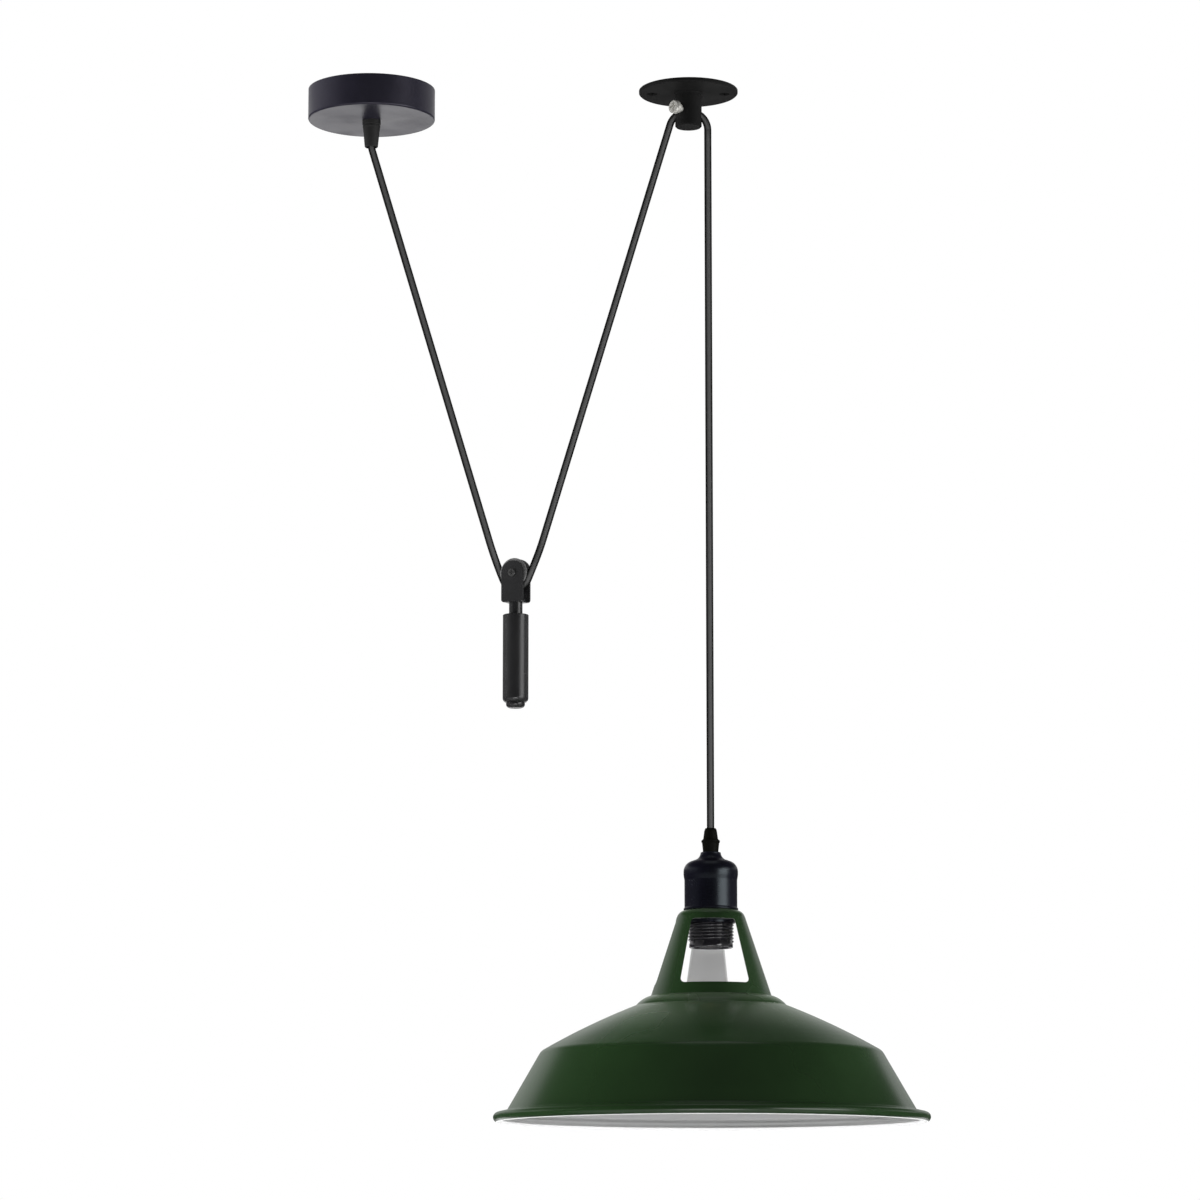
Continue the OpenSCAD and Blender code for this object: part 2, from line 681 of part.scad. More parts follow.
module lamp_nipple() {
    color(zinc) at_lamp() translate([0, 0, lamp_nipple_end_z])
        ring(nipple_r, nipple_bore_r, lamp_nipple_top_z - lamp_nipple_end_z);
}

module lamp_locknut() {
    color(zinc) at_lamp() translate([0, 0, dome_top_z]) hex_nut(nut_flats, nipple_r + thread_fit, nut_h - 1);
}

// Half section of the cover, from the skirt's foot over the bulge to the collar's top
module lampholder_cover() {
    w = cover_wall;
    bulge_r = cover_r + 0.7;
    shoulder = [bulge_r - cover_shoulder_r, cover_skirt_h];
    flare = [cover_collar_r + cover_flare_r + 0.3, cover_skirt_h + cover_shoulder_r + cover_flare_r + 0.1];
    color(black_gloss) at_lamp() translate([0, 0, top_z]) rotate_extrude() polygon(concat(
        [[cover_r - w, 0], [cover_r + 0.3, 0]], arc([cover_r - 0.1, 0.9], 0.9, -60, 75, 6),
        [[cover_r, 2.4], [cover_r, cover_skirt_h - 6.8], [bulge_r - 0.2, cover_skirt_h - 3.8],
        [bulge_r, cover_skirt_h - 2.2]],
        arc(shoulder, cover_shoulder_r, 0, 84, 14),
        arc(flare, cover_flare_r, 262, 184, 10),
        [[cover_collar_r, cover_collar_top - 0.8], [cover_collar_r - 0.6, cover_collar_top],
        [nipple_r + hole_fit, cover_collar_top], [nipple_r + hole_fit, cover_collar_top - w]],
        [[cover_collar_r - w, cover_collar_top - w]],
        arc(flare, cover_flare_r + w, 184, 262, 10),
        arc(shoulder, cover_shoulder_r - w, 84, 0, 14),
        [[bulge_r - w, cover_skirt_h - 2.2], [cover_r - w, cover_skirt_h - 6.8]]));
}

module lampholder_dome() {
    h = dome_top_z - top_z - flange_h;
    color(black_gloss) at_lamp() translate([0, 0, top_z + flange_h]) rotate_extrude() polygon([
        [dome_r - dome_wall, 0], [dome_r, 0], [dome_r, h - 4], [dome_r - 4, h],
        [nipple_r + thread_fit, h], [nipple_r + thread_fit, h - dome_top_t],
        [dome_r - dome_wall - 3, h - dome_top_t], [dome_r - dome_wall, h - dome_top_t - 3]]);
}

module lampholder_skirt() {
    lip_h = 4;
    ridges = floor((skirt_drop - lip_h - ring_h - shade_wall) / ridge_pitch);
    root_r = skirt_r - ridge_depth;
    color(black_gloss) at_lamp() translate([0, 0, top_z]) rotate_extrude() polygon(concat(
        [[skirt_bore_r, -skirt_drop], [root_r - 0.8, -skirt_drop], [root_r, -skirt_drop + 0.8]],
        [for (i = [0:ridges - 1]) let (z = -skirt_drop + lip_h + i * ridge_pitch)
            for (p = [[root_r, z], [skirt_r, z + ridge_pitch * 0.3], [skirt_r, z + ridge_pitch * 0.5],
                [root_r, z + ridge_pitch * 0.8]]) p],
        [[root_r, 0], [dome_r, 0], [dome_r, flange_h], [skirt_bore_r, flange_h]]));
}

module lampholder_insert() {
    color(ceramic) at_lamp() difference() {
        translate([0, 0, shell_top_z]) cylinder(r = skirt_bore_r - 0.2, h = insert_t);
        translate([0, 0, shell_top_z - 1]) cylinder(r = 1.55, h = insert_t + 2);
        for (a = [90, 210, 330]) rotate([0, 0, a]) translate([terminal_r, 0, insert_top_z - 4])
            cylinder(r = 1.6, h = 5);
    }
}

module screw_shell() {
    color(brass) at_lamp() translate([0, 0, shell_end_z]) difference() {
        cylinder(r = shell_out_r, h = shell_l);
        translate([0, 0, -1]) cylinder(r = shell_r, h = shell_l - contact_room + 1);
        translate([0, 0, -1]) cylinder(r = shell_r - 1.4, h = shell_l + 1 - shell_wall);
        translate([0, 0, shell_l - 1]) cylinder(r = 6, h = 2);
    }
}

module centre_contact() {
    color(brass) at_lamp() union() {
        translate([0, 0, shell_top_z]) cylinder(r = 1.5, h = insert_t + 0.6);
        translate([0, 0, shell_top_z - 2.4]) cylinder(r = 4, h = 2.4);
    }
}

module lampholder_screws() {
    color(brass) at_lamp() for (a = [90, 210, 330]) rotate([0, 0, a])
        translate([terminal_r, 0, insert_top_z - 3.5]) difference() {
            union() {
                cylinder(r = 1.5, h = 4);
                translate([0, 0, 3.5]) cylinder(r = 2.5, h = 1.6);
            }
            translate([-3, -0.3, 4.4]) cube([6, 0.6, 2]);
        }
}

module lamp_core(a) {
    start = [1.25 * cos(a), 1.25 * sin(a), lamp_sheath_end_z];
    end = [terminal_r * cos(a), terminal_r * sin(a), insert_top_z + 1.6 + core_r + 0.35];
    at_lamp() tube_along(curve(start, [0, 0, -3], [2.2 * cos(a), 2.2 * sin(a), -0.6], end, 8), core_r, 8,
        [-sin(a), cos(a), 0], [0, 0, -1], [cos(a), sin(a), -0.2]);
}

module lamp_live_core() {
    color("sienna") lamp_core(210);
}

module lamp_neutral_core() {
    color("steelblue") lamp_core(330);
}

module lamp_earth_core() {
    color("yellowgreen") lamp_core(90);
}

module shade_ring() {
    color(black_gloss) at_lamp() translate([0, 0, top_z - shade_wall - ring_h]) difference() {
        rotate_extrude() polygon([
            [skirt_r + thread_fit, 0], [ring_r - 1.4, 0], [ring_r - 1.4, ring_h - 4.4],
            [ring_r, ring_h - 3.4], [ring_r, ring_h - 1.4], [ring_r - 1.4, ring_h],
            [skirt_r + thread_fit, ring_h]]);
        for (i = [0:23]) rotate([0, 0, i * 15]) translate([ring_r + 0.5, 0, ring_h - 5])
            cylinder(r = 1.1, h = 6);
    }
}

// ---- Shade ----

// An arc from p to q that bulges outwards by sag, moved inwards by off
function bow(p, q, sag, off, n) =
    let (chord = norm(q - p), r = (chord * chord / 4 + sag * sag) / (2 * sag),
        out = [q[1] - p[1], p[0] - q[0]] / chord, c = (p + q) / 2 - (r - sag) * out)
    arc(c, r - off, atan2(p[1] - c[1], p[0] - c[0]), atan2(q[1] - c[1], q[0] - c[0]), n);

// The shade's outside from its flange up to the flat top, moved inwards by off
function shade_line(off) =
    let (foot = [shade_d / 2 - 11, 2 * rim_r + 1.5],
        foot_r = 1.5,
        side_top = foot + side_h * [-1 / tan(side_angle), 1],
        ring_foot = [neck_foot_r + 12, neck_foot_h - 7.6],
        neck_foot = [neck_foot_r, neck_foot_h],
        crown_a = atan2(ring_foot[1] - side_top[1], side_top[0] - ring_foot[0])
            + 2 * atan(2 * slope_crown / norm(ring_foot - side_top)),
        bend = knee_r * tan((side_angle - crown_a) / 2),
        knee_c = side_top + bend * [cos(side_angle), -sin(side_angle)]
            - knee_r * [sin(side_angle), cos(side_angle)],
        slope_start = knee_c + knee_r * [sin(crown_a), cos(crown_a)],
        neck_a = atan2(shade_h - 0.7 * neck_shoulder_r - neck_foot_h, neck_foot_r - neck_top_r),
        shoulder_c = [neck_top_r - neck_shoulder_r * sin(neck_a), shade_h - neck_shoulder_r])
    concat(
        arc(foot + foot_r * [tan(side_angle / 2), 1], foot_r + off, 258, 270 - side_angle, 5),
        arc(knee_c, knee_r - off, 90 - side_angle, 90 - crown_a, 8),
        bow(slope_start, ring_foot, slope_crown, off, 10),
        bow(ring_foot, neck_foot, 1.2, off, 6),
        [neck_foot - off * [sin(neck_a), cos(neck_a)]],
        arc(shoulder_c, neck_shoulder_r - off, 90 - neck_a, 90, 8));

module shade_wall_section() {
    rim_c = [shade_d / 2 - rim_r, rim_r];
    inner = shade_line(shade_wall);
    hole = skirt_r + hole_fit;
    flip = [for (i = [len(inner) - 1:-1:0]) inner[i]];
    polygon(concat(arc(rim_c, rim_r, -150, 80, 16), shade_line(0), [[hole, shade_h],
        [hole, shade_h - shade_wall]], flip, arc(rim_c, rim_r - shade_wall, 80, -150, 16)));
}

// A window's outline as seen from outside: a trapezium with round corners
module window_outline() {
    sill = neck_foot_h + window_sill;
    slope = (neck_foot_r - neck_top_r) / (shade_h - 0.7 * neck_shoulder_r - neck_foot_h);
    low = (neck_foot_r - window_sill * slope) * sin(window_half_angle);
    high = low - window_h * slope * sin(window_half_angle);
    r = 3;
    side = atan((low - high) / window_h);
    polygon(concat(
        arc([low - r * tan(45 + side / 2), sill + r], r, 270, 360 + side, 5),
        arc([high - r * tan(45 - side / 2), sill + window_h - r], r, side, 90, 5),
        arc([-high + r * tan(45 - side / 2), sill + window_h - r], r, 90, 180 - side, 5),
        arc([-low + r * tan(45 + side / 2), sill + r], r, 180 - side, 270, 5)));
}

module shade() {
    color(green_enamel) at_lamp() translate([0, 0, rim_z]) difference() {
        rotate_extrude() shade_wall_section();
        for (i = [0:window_count - 1]) rotate([0, 0, window_turn + i * 360 / window_count])
            rotate([90, 0, 0]) linear_extrude(neck_foot_r + 10) window_outline();
    }
}

canopy_cup();
canopy_bracket();
canopy_nipple();
canopy_locknut();
canopy_grip_collar();
canopy_grip_cap();
terminal_block();
terminal_screws();
earth_screw();
canopy_live_core();
canopy_neutral_core();
canopy_earth_core();
cord_in_canopy();
cord_left_leg();
cord_right_leg();
cord_over_hook();
hook_plate();
hook_screws();
clamp_screw();
pulley_yoke();
pulley_axle();
axle_nut();
axle_washers();
cord_round_pulley();
weight_rod();
weight_stem();
stem_ring();
weight_cylinder();
weight_end_nut();
pulley_wheel();
wheel_bush();
cord_drop();
lamp_grip_cap();
lamp_grip_body();
lamp_nipple();
lamp_locknut();
lampholder_cover();
lampholder_dome();
lampholder_skirt();
lampholder_insert();
screw_shell();
centre_contact();
lampholder_screws();
lamp_live_core();
lamp_neutral_core();
lamp_earth_core();
cord_in_lamp();
shade_ring();
shade();
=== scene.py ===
"""A rise and fall pendant: shade, lampholder, braided cord, pulley with counterweight, canopy and hook."""
import logging
import math
from dataclasses import dataclass, field, fields
from enum import Enum

import bmesh
import bpy
from mathutils import Matrix, Vector
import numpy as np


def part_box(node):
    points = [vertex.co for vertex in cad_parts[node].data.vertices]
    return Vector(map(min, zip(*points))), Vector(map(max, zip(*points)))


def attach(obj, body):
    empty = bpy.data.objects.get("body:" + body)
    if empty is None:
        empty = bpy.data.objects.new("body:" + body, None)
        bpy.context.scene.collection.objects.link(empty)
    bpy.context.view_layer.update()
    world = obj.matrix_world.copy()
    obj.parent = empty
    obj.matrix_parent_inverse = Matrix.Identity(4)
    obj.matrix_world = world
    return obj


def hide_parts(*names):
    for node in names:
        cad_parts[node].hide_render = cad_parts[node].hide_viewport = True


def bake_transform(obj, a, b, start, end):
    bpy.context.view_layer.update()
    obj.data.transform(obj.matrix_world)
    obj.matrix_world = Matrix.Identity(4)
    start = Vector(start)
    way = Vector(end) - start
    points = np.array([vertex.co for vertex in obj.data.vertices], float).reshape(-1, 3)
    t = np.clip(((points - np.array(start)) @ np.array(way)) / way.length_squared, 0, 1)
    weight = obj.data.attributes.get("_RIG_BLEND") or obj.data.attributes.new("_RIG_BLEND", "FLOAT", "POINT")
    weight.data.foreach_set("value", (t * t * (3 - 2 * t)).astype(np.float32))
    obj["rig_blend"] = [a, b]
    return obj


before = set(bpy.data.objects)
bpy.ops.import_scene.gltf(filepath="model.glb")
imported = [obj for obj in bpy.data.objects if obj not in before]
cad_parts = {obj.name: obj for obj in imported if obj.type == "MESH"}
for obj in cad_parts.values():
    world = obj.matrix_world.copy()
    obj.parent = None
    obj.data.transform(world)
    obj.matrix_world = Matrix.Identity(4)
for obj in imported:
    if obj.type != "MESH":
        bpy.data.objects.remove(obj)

logging.basicConfig(level=logging.INFO, format="%(name)s: %(message)s")
LOG = logging.getLogger("pendant")

Triple = tuple[float, float, float]
Colour = Triple
Band = tuple[float, float]
Path = list[Vector]
Names = tuple[str, ...]
Socket = bpy.types.NodeSocket
Material = bpy.types.Material
Object = bpy.types.Object
BMesh = bmesh.types.BMesh
MM = 0.001
WELD = 0.00001


class Side(Enum):
    """The side of the pulley that a stretch of cord comes down on."""

    LEFT = -1
    RIGHT = 1


class Pattern(Enum):
    """The fine pattern in a finish."""

    PEEL = "peel"
    TURNED = "turned"
    SPANGLE = "spangle"
    MOULDED = "moulded"


# ---- Finishes ----


def shade_of(colour: Colour, factor: float) -> Colour:
    """Makes a colour lighter or darker by a factor."""
    return (colour[0] * factor, colour[1] * factor, colour[2] * factor)


def grey(level: float) -> Colour:
    """Gives the neutral colour of a level."""
    return (level, level, level)


class Graph:
    """A tree of shader nodes while it is being made."""

    def __init__(self, tree: bpy.types.NodeTree) -> None:
        """Takes the tree that the nodes go into."""
        self.tree = tree

    def node(self, kind: str, **settings: object) -> bpy.types.Node:
        """Adds a node.

        Args:
            kind: The node's type without its leading words, such as TexNoise.
            **settings: Properties of the node, or the values of its named inputs.

        Returns:
            The new node.
        """
        made = self.tree.nodes.new("ShaderNode" + kind)
        for key, value in settings.items():
            if hasattr(made, key):
                setattr(made, key, value)
            else:
                made.inputs[key.replace("_", " ")].default_value = value
        return made

    def link(self, source: object, target: Socket) -> None:
        """Joins a socket to an input, or gives the input a number or an opaque colour."""
        if isinstance(source, Socket):
            self.tree.links.new(source, target)
        else:
            target.default_value = (*source, 1.0) if isinstance(source, tuple) else source

    def maths(self, operation: str, first: object, *others: object) -> Socket:
        """Joins values by Math nodes, one after another.

        Args:
            operation: The nodes' operation.
            first: A socket or a number.
            *others: The other sockets or numbers, if the operation takes more than one.

        Returns:
            The result.
        """
        for other in others or (0.0,):
            made = self.node("Math", operation=operation)
            for target, value in zip(made.inputs, (first, other)):
                self.link(value, target)
            first = made.outputs[0]
        return first

    def times(self, *values: object) -> Socket:
        """Multiplies several values."""
        return self.maths("MULTIPLY", *values)

    def plus(self, *values: object) -> Socket:
        """Adds several values."""
        return self.maths("ADD", *values)

    def spread(self, value: Socket, low: float, high: float, start: float = 0.3,
               end: float = 0.7, smooth: bool = False) -> Socket:
        """Maps a value onto a range, and holds it there.

        Args:
            value: The value to map.
            low: The result at start.
            high: The result at end.
            start: The value that becomes low.
            end: The value that becomes high.
            smooth: Whether the result eases in and out.

        Returns:
            The mapped value.
        """
        made = self.node("MapRange", interpolation_type="SMOOTHSTEP" if smooth else "LINEAR")
        for target, source in zip(made.inputs, (value, start, end, low, high)):
            self.link(source, target)
        return made.outputs[0]

    def parts(self, vector: Socket) -> tuple[Socket, ...]:
        """Splits a vector into its x, y and z."""
        made = self.node("SeparateXYZ")
        self.link(vector, made.inputs[0])
        return tuple(made.outputs)


class Recipe(Graph):
    """The node tree of one material while it is being made."""

    def __init__(self, name: str) -> None:
        """Starts a material with a single surface shader.

        Args:
            name: The material's name.
        """
        self.material: Material = bpy.data.materials.new(name)
        self.material.use_nodes = True
        super().__init__(self.material.node_tree)
        self.shader: bpy.types.Node = self.tree.nodes["Principled BSDF"]

    def put(self, **values: object) -> None:
        """Sets fixed values on the surface shader, named by its inputs."""
        for key, value in values.items():
            self.shader.inputs[key.replace("_", " ")].default_value = value

    def place(self, scale: Triple = (1, 1, 1), shift: Triple = (0, 0, 0)) -> Socket:
        """Gives the object's own coordinates, stretched and shifted.

        Args:
            scale: The stretch along each axis.
            shift: The shift along each axis.

        Returns:
            The socket with the coordinates.
        """
        mapped = self.node("Mapping", Scale=scale, Location=shift)
        self.link(self.node("TexCoord").outputs["Object"], mapped.inputs["Vector"])
        return mapped.outputs["Vector"]

    def own_map(self) -> tuple[Socket, ...]:
        """Gives a tube's own map: u round it, and v along it in metres."""
        return self.parts(self.node("UVMap", uv_map="braid").outputs["UV"])[:2]

    def noise(self, where: Socket, scale: float, detail: float = 2.0) -> Socket:
        """Adds cloudy noise.

        Args:
            where: The coordinates that it reads.
            scale: Its frequency.
            detail: How many finer layers it has.

        Returns:
            The noise value.
        """
        made = self.node("TexNoise", Scale=scale, Detail=detail)
        self.link(where, made.inputs["Vector"])
        return made.outputs["Fac"]

    def mix(self, share: Socket, first: object, second: object) -> Socket:
        """Mixes two colours.

        Args:
            share: How much of the second colour shows.
            first: A colour or a socket.
            second: A colour or a socket.

        Returns:
            The mixed colour.
        """
        made = self.node("Mix", data_type="RGBA")
        for key, value in (("Factor", share), (6, first), (7, second)):
            self.link(value, made.inputs[key])
        return made.outputs[2]

    def mottled(self, cloud: Socket, colour: Colour, low: float, high: float) -> Socket:
        """Varies the lightness of a colour.

        Args:
            cloud: The noise that it follows.
            colour: The colour.
            low: The factor where the noise is low.
            high: The factor where the noise is high.

        Returns:
            The varied colour.
        """
        return self.mix(self.spread(cloud, 0.0, 1.0), shade_of(colour, low), shade_of(colour, high))

    def bump(self, height: Socket, strength: float, depth: float) -> None:
        """Raises the surface by a height.

        Args:
            height: The height, from 0 to 1.
            strength: How strongly it shows.
            depth: Its depth in metres.
        """
        made = self.node("Bump", Strength=strength, Distance=depth)
        self.link(height, made.inputs["Height"])
        self.link(made.outputs["Normal"], self.shader.inputs["Normal"])

    def paint(self, colour: Socket, roughness: Socket) -> None:
        """Gives the surface its colour and its roughness."""
        self.link(colour, self.shader.inputs["Base Color"])
        self.link(roughness, self.shader.inputs["Roughness"])


@dataclass(frozen=True)
class Lacquer:
    """Paint or moulded plastic: one colour with a fine surface and a little dust."""

    name: str
    colour: Colour
    roughness: float = 0.3
    specular: float = 0.5
    tint: Colour = (1.0, 1.0, 1.0)
    coat: float = 0.0
    grain: float = 900.0
    depth: float = 0.00004
    pattern: Pattern = Pattern.PEEL
    dust_and_painted_light: float = 0.35

    def material(self) -> Material:
        """Makes the material.

        Returns:
            The finished material.
        """
        mat = Recipe(self.name)
        where = mat.place()
        cloud = mat.noise(where, 34.0, 3.0)
        dust_and_painted_light = mat.spread(mat.noise(where, 2600.0, 1.0), 0.0, self.dust_and_painted_light, 0.68, 0.80)
        colour = mat.mix(dust_and_painted_light, mat.mottled(cloud, self.colour, 0.86, 1.16), shade_of(self.colour, 1.9))
        mat.paint(colour, mat.spread(cloud, self.roughness * 0.86, self.roughness * 1.16))
        mat.put(Specular_IOR_Level=self.specular, Coat_Weight=self.coat, Coat_Roughness=0.04,
                Specular_Tint=(*self.tint, 1.0))
        mat.bump(mat.noise(where, self.grain, 2.0), 0.5 if self.pattern is Pattern.PEEL else 0.25,
                 self.depth)
        return mat.material


@dataclass(frozen=True)
class ShadeEnamel:
    """Dark gloss enamel on the outside of the shade and pale enamel inside it, with painted light on the
    upper slope and painted light and shade inside. Levels are on Z.
    """

    name: str
    outside: Colour
    inside: Colour
    centre: tuple[float, float]
    # Painted light: a pale grey-green laid on the upward-facing slope near the neck's foot, as if lit from
    # above.
    dust_and_painted_light: Colour = (0.115, 0.16, 0.10)
    painted_light_share: float = 0.5
    painted_light_slope: Band = (0.6, 0.85)
    painted_light_depth: float = 0.032
    foot: float = -0.751
    # Painted light: the inside of the rim's bead, below this level, is made lighter by the factor.
    bead: float = -0.8453
    bead_painted_light_factor: float = 1.9
    lap: float = 2.5
    border: float = 0.03
    # Painted shade: the inside below this level is made darker by the factor.
    painted_shade_level: float = -0.80
    painted_shade_factor: float = 0.8
    gloss: float = 0.24
    inner_rough: float = 0.26

    def material(self) -> Material:
        """Makes the material. The side of the wall is told by the way that it faces.

        Returns:
            The finished material.
        """
        mat = Recipe(self.name)
        where = mat.place(shift=(-self.centre[0], -self.centre[1], 0.0))
        x, y, z = mat.parts(where)
        nx, ny, nz = mat.parts(mat.node("TexCoord").outputs["Normal"])
        radius = mat.maths("SQRT", mat.plus(mat.times(x, x), mat.times(y, y)))
        outward = mat.maths("DIVIDE", mat.plus(mat.times(x, nx), mat.times(y, ny)), radius)
        facing = mat.plus(mat.times(outward, self.lap), nz)
        side = mat.spread(facing, 0.0, 1.0, 0.0, self.border)
        cloud = mat.noise(where, 9.0, 3.0)
        speck = mat.spread(mat.noise(where, 1900.0, 1.0), 0.0, 0.5, 0.69, 0.78)
        green = mat.mix(speck, mat.mottled(cloud, self.outside, 0.85, 1.18), shade_of(self.outside, 1.6))
        # Painted light: upward-facing enamel above the neck's foot is mixed towards a pale grey-green, as
        # light from above would show.
        painted_top_light = mat.times(mat.spread(nz, 0.0, self.painted_light_share, *self.painted_light_slope),
                            mat.spread(z, 0.0, 1.0, self.foot - self.painted_light_depth, self.foot),
                            mat.spread(cloud, 0.8, 1.2))
        green = mat.mix(painted_top_light, green, self.dust_and_painted_light)
        pale = mat.mottled(cloud, self.inside, 0.97, 1.02)
        # Painted shade on the lower inside, and painted light on the rim's bead.
        for level, blur, factor in ((self.painted_shade_level, 0.02, self.painted_shade_factor),
                                    (self.bead, 0.001, self.bead_painted_light_factor)):
            below = mat.spread(z, 1.0, 0.0, level - blur, level + blur)
            pale = mat.mix(below, pale, shade_of(self.inside, factor))
        rough = mat.plus(mat.spread(side, self.inner_rough, 0.0, 0.0, 1.0),
                         mat.spread(cloud, self.gloss * 0.85, self.gloss * 1.2))
        mat.paint(mat.mix(side, pale, green), rough)
        mat.bump(mat.noise(where, 420.0, 1.0), 0.18, 0.00006)
        return mat.material


@dataclass(frozen=True)
class Plate:
    """Bare or plated metal with the marks of how it was made."""

    name: str
    colour: Colour
    roughness: float = 0.25
    pattern: Pattern = Pattern.TURNED
    metallic: float = 1.0
    turning: Triple = (60.0, 60.0, 2600.0)

    def material(self) -> Material:
        """Makes the material.

        Returns:
            The finished material.
        """
        mat = Recipe(self.name)
        where = mat.place()
        cloud = mat.noise(where, 120.0, 3.0)
        if self.pattern is Pattern.SPANGLE:
            cells = mat.node("TexVoronoi", Scale=420.0)
            mat.link(where, cells.inputs["Vector"])
            marks = cells.outputs["Distance"]
        else:
            marks = mat.noise(mat.place(self.turning), 1.0, 3.0)
        rough = mat.plus(mat.spread(marks, -0.05, 0.07),
                         mat.spread(cloud, self.roughness * 0.85, self.roughness * 1.2))
        mat.paint(mat.mottled(cloud, self.colour, 0.88, 1.06), rough)
        mat.put(Metallic=self.metallic)
        mat.bump(marks, 0.3, 0.00003)
        return mat.material


@dataclass(frozen=True)
class Braid:
    """A textile braid that follows the cord's own map."""

    name: str
    colour: Colour
    carriers: float = 8.0
    girth: float = 0.0188
    threads: float = 10.0
    sheen: Band = (0.05, 0.32)

    def material(self) -> Material:
        """Makes the material: two sets of yarns that pass over and under each other.

        Returns:
            The finished material.
        """
        mat = Recipe(self.name)
        u, v = mat.own_map()
        turns = mat.times(u, self.carriers)
        along = mat.times(v, self.carriers / self.girth)
        up, down = mat.plus(turns, along), mat.maths("SUBTRACT", turns, along)
        over = mat.maths("PINGPONG", mat.plus(mat.maths("FLOOR", up), mat.maths("FLOOR", down)), 1.0)
        heights = []
        for lane in (up, down):
            across = mat.maths("PINGPONG", mat.times(lane, 2.0), 1.0)
            threads = mat.maths("PINGPONG", mat.times(lane, self.threads), 1.0)
            heights.append(mat.plus(mat.maths("POWER", across, 0.55), mat.times(threads, 0.22)))
        fuzz = mat.noise(mat.place(), 5200.0, 2.0)
        height = mat.plus(mat.times(heights[0], over),
                          mat.times(heights[1], mat.maths("SUBTRACT", 1.0, over)), mat.times(fuzz, 0.25))
        # Painted shade and light: darker in the hollows of the weave and lighter on the raised yarns.
        painted_weave_shading = mat.spread(height, 0.0, 1.0, 0.25, 1.25)
        colour = mat.mix(painted_weave_shading, shade_of(self.colour, 0.35), shade_of(self.colour, 1.35))
        mat.paint(colour, mat.spread(fuzz, 0.5, 0.62))
        facing = mat.node("LayerWeight", Blend=0.5)
        mat.link(mat.spread(facing.outputs["Facing"], 1.0, 0.0, *self.sheen),
                 mat.shader.inputs["Specular IOR Level"])
        mat.bump(height, 0.45, 0.0002)
        return mat.material


@dataclass(frozen=True)
class Insulation:
    """The smooth coloured skin of a single core, with a stripe along it if it has a second colour."""

    name: str
    colour: Colour
    stripe: Colour | None = None

    def material(self) -> Material:
        """Makes the material.

        Returns:
            The finished material.
        """
        mat = Recipe(self.name)
        where = mat.place()
        cloud = mat.noise(where, 240.0, 2.0)
        colour = mat.mottled(cloud, self.colour, 0.9, 1.08)
        if self.stripe is not None:
            off = mat.maths("ABSOLUTE", mat.maths("SUBTRACT", mat.own_map()[0], 0.5))
            colour = mat.mix(mat.spread(off, 1.0, 0.0, 0.13, 0.15), colour, self.stripe)
        mat.paint(colour, mat.spread(cloud, 0.32, 0.42))
        mat.bump(mat.noise(where, 1500.0, 1.0), 0.2, 0.00003)
        return mat.material


class Finishes:
    """Every finish on the pendant, made once."""

    def __init__(self) -> None:
        """Makes all the materials."""
        moulded = Pattern.MOULDED
        self.shade = ShadeEnamel("shade_green", (0.013, 0.035, 0.010), grey(0.48), (0.016, 0.0)).material()
        self.canopy = Lacquer("canopy_black", (0.016, 0.015, 0.024), 0.33, tint=(0.90, 0.86, 1.0)).material()
        self.hook = Lacquer("hook_black", grey(0.0125), 0.6, specular=0.02).material()
        self.screws = Lacquer("screw_black", grey(0.004), 0.7, specular=0.02, grain=2400.0).material()
        self.weight = Lacquer("weight_black", (0.021, 0.021, 0.022), 0.24).material()
        self.axle = Lacquer("axle_black", grey(0.05), 0.3).material()
        self.wheel = Lacquer("wheel_grey", grey(0.2), 0.35, pattern=moulded).material()
        self.grip = Lacquer("grip_black", grey(0.018), 0.6, specular=0.25, grain=1500.0, depth=0.00003,
                            pattern=moulded).material()
        self.lamp_grip = Lacquer("lamp_grip_black", (0.003, 0.003, 0.002), 0.5, specular=0.08,
                                 grain=1500.0, depth=0.00003, pattern=moulded).material()
        self.holder = Lacquer("holder_black", (0.003, 0.0025, 0.007), 0.28, tint=(0.80, 0.93, 1.0),
                              grain=300.0, depth=0.00001, pattern=moulded).material()
        self.thread = Lacquer("thread_black", (0.008, 0.007, 0.011), 0.16, specular=1.0, grain=400.0,
                              depth=0.00001, pattern=moulded).material()
        self.nickel = Plate("nickel", (0.66, 0.65, 0.61), 0.42, metallic=0.6).material()
        self.dark_nickel = Plate("dark_nickel", grey(0.10), 0.4).material()
        self.zinc = Plate("zinc_steel", (0.50, 0.51, 0.53), 0.36, Pattern.SPANGLE).material()
        self.brass = Plate("brass", (0.72, 0.52, 0.22), 0.26).material()
        self.plastic = Lacquer("white_plastic", (0.78, 0.78, 0.75), 0.42, pattern=moulded).material()
        self.ceramic = Lacquer("ceramic", (0.80, 0.79, 0.74), 0.18, coat=0.4, grain=500.0,
                               pattern=moulded).material()
        self.braid = Braid("cord_braid", grey(0.004)).material()
        self.brown = Insulation("core_brown", (0.13, 0.05, 0.02)).material()
        self.blue = Insulation("core_blue", (0.04, 0.13, 0.42)).material()
        self.earth = Insulation("core_green_yellow", (0.08, 0.30, 0.04), (0.75, 0.66, 0.04)).material()


def dress(node: str, material: Material) -> None:
    """Gives a carried-over CAD node its material.

    Args:
        node: The node's name.
        material: The material that covers it.
    """
    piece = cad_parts[node]
    if not piece.material_slots:
        piece.data.materials.append(material)
    for place in piece.material_slots:
        place.material = material
    LOG.info("dressed %s with %s", node, material.name)


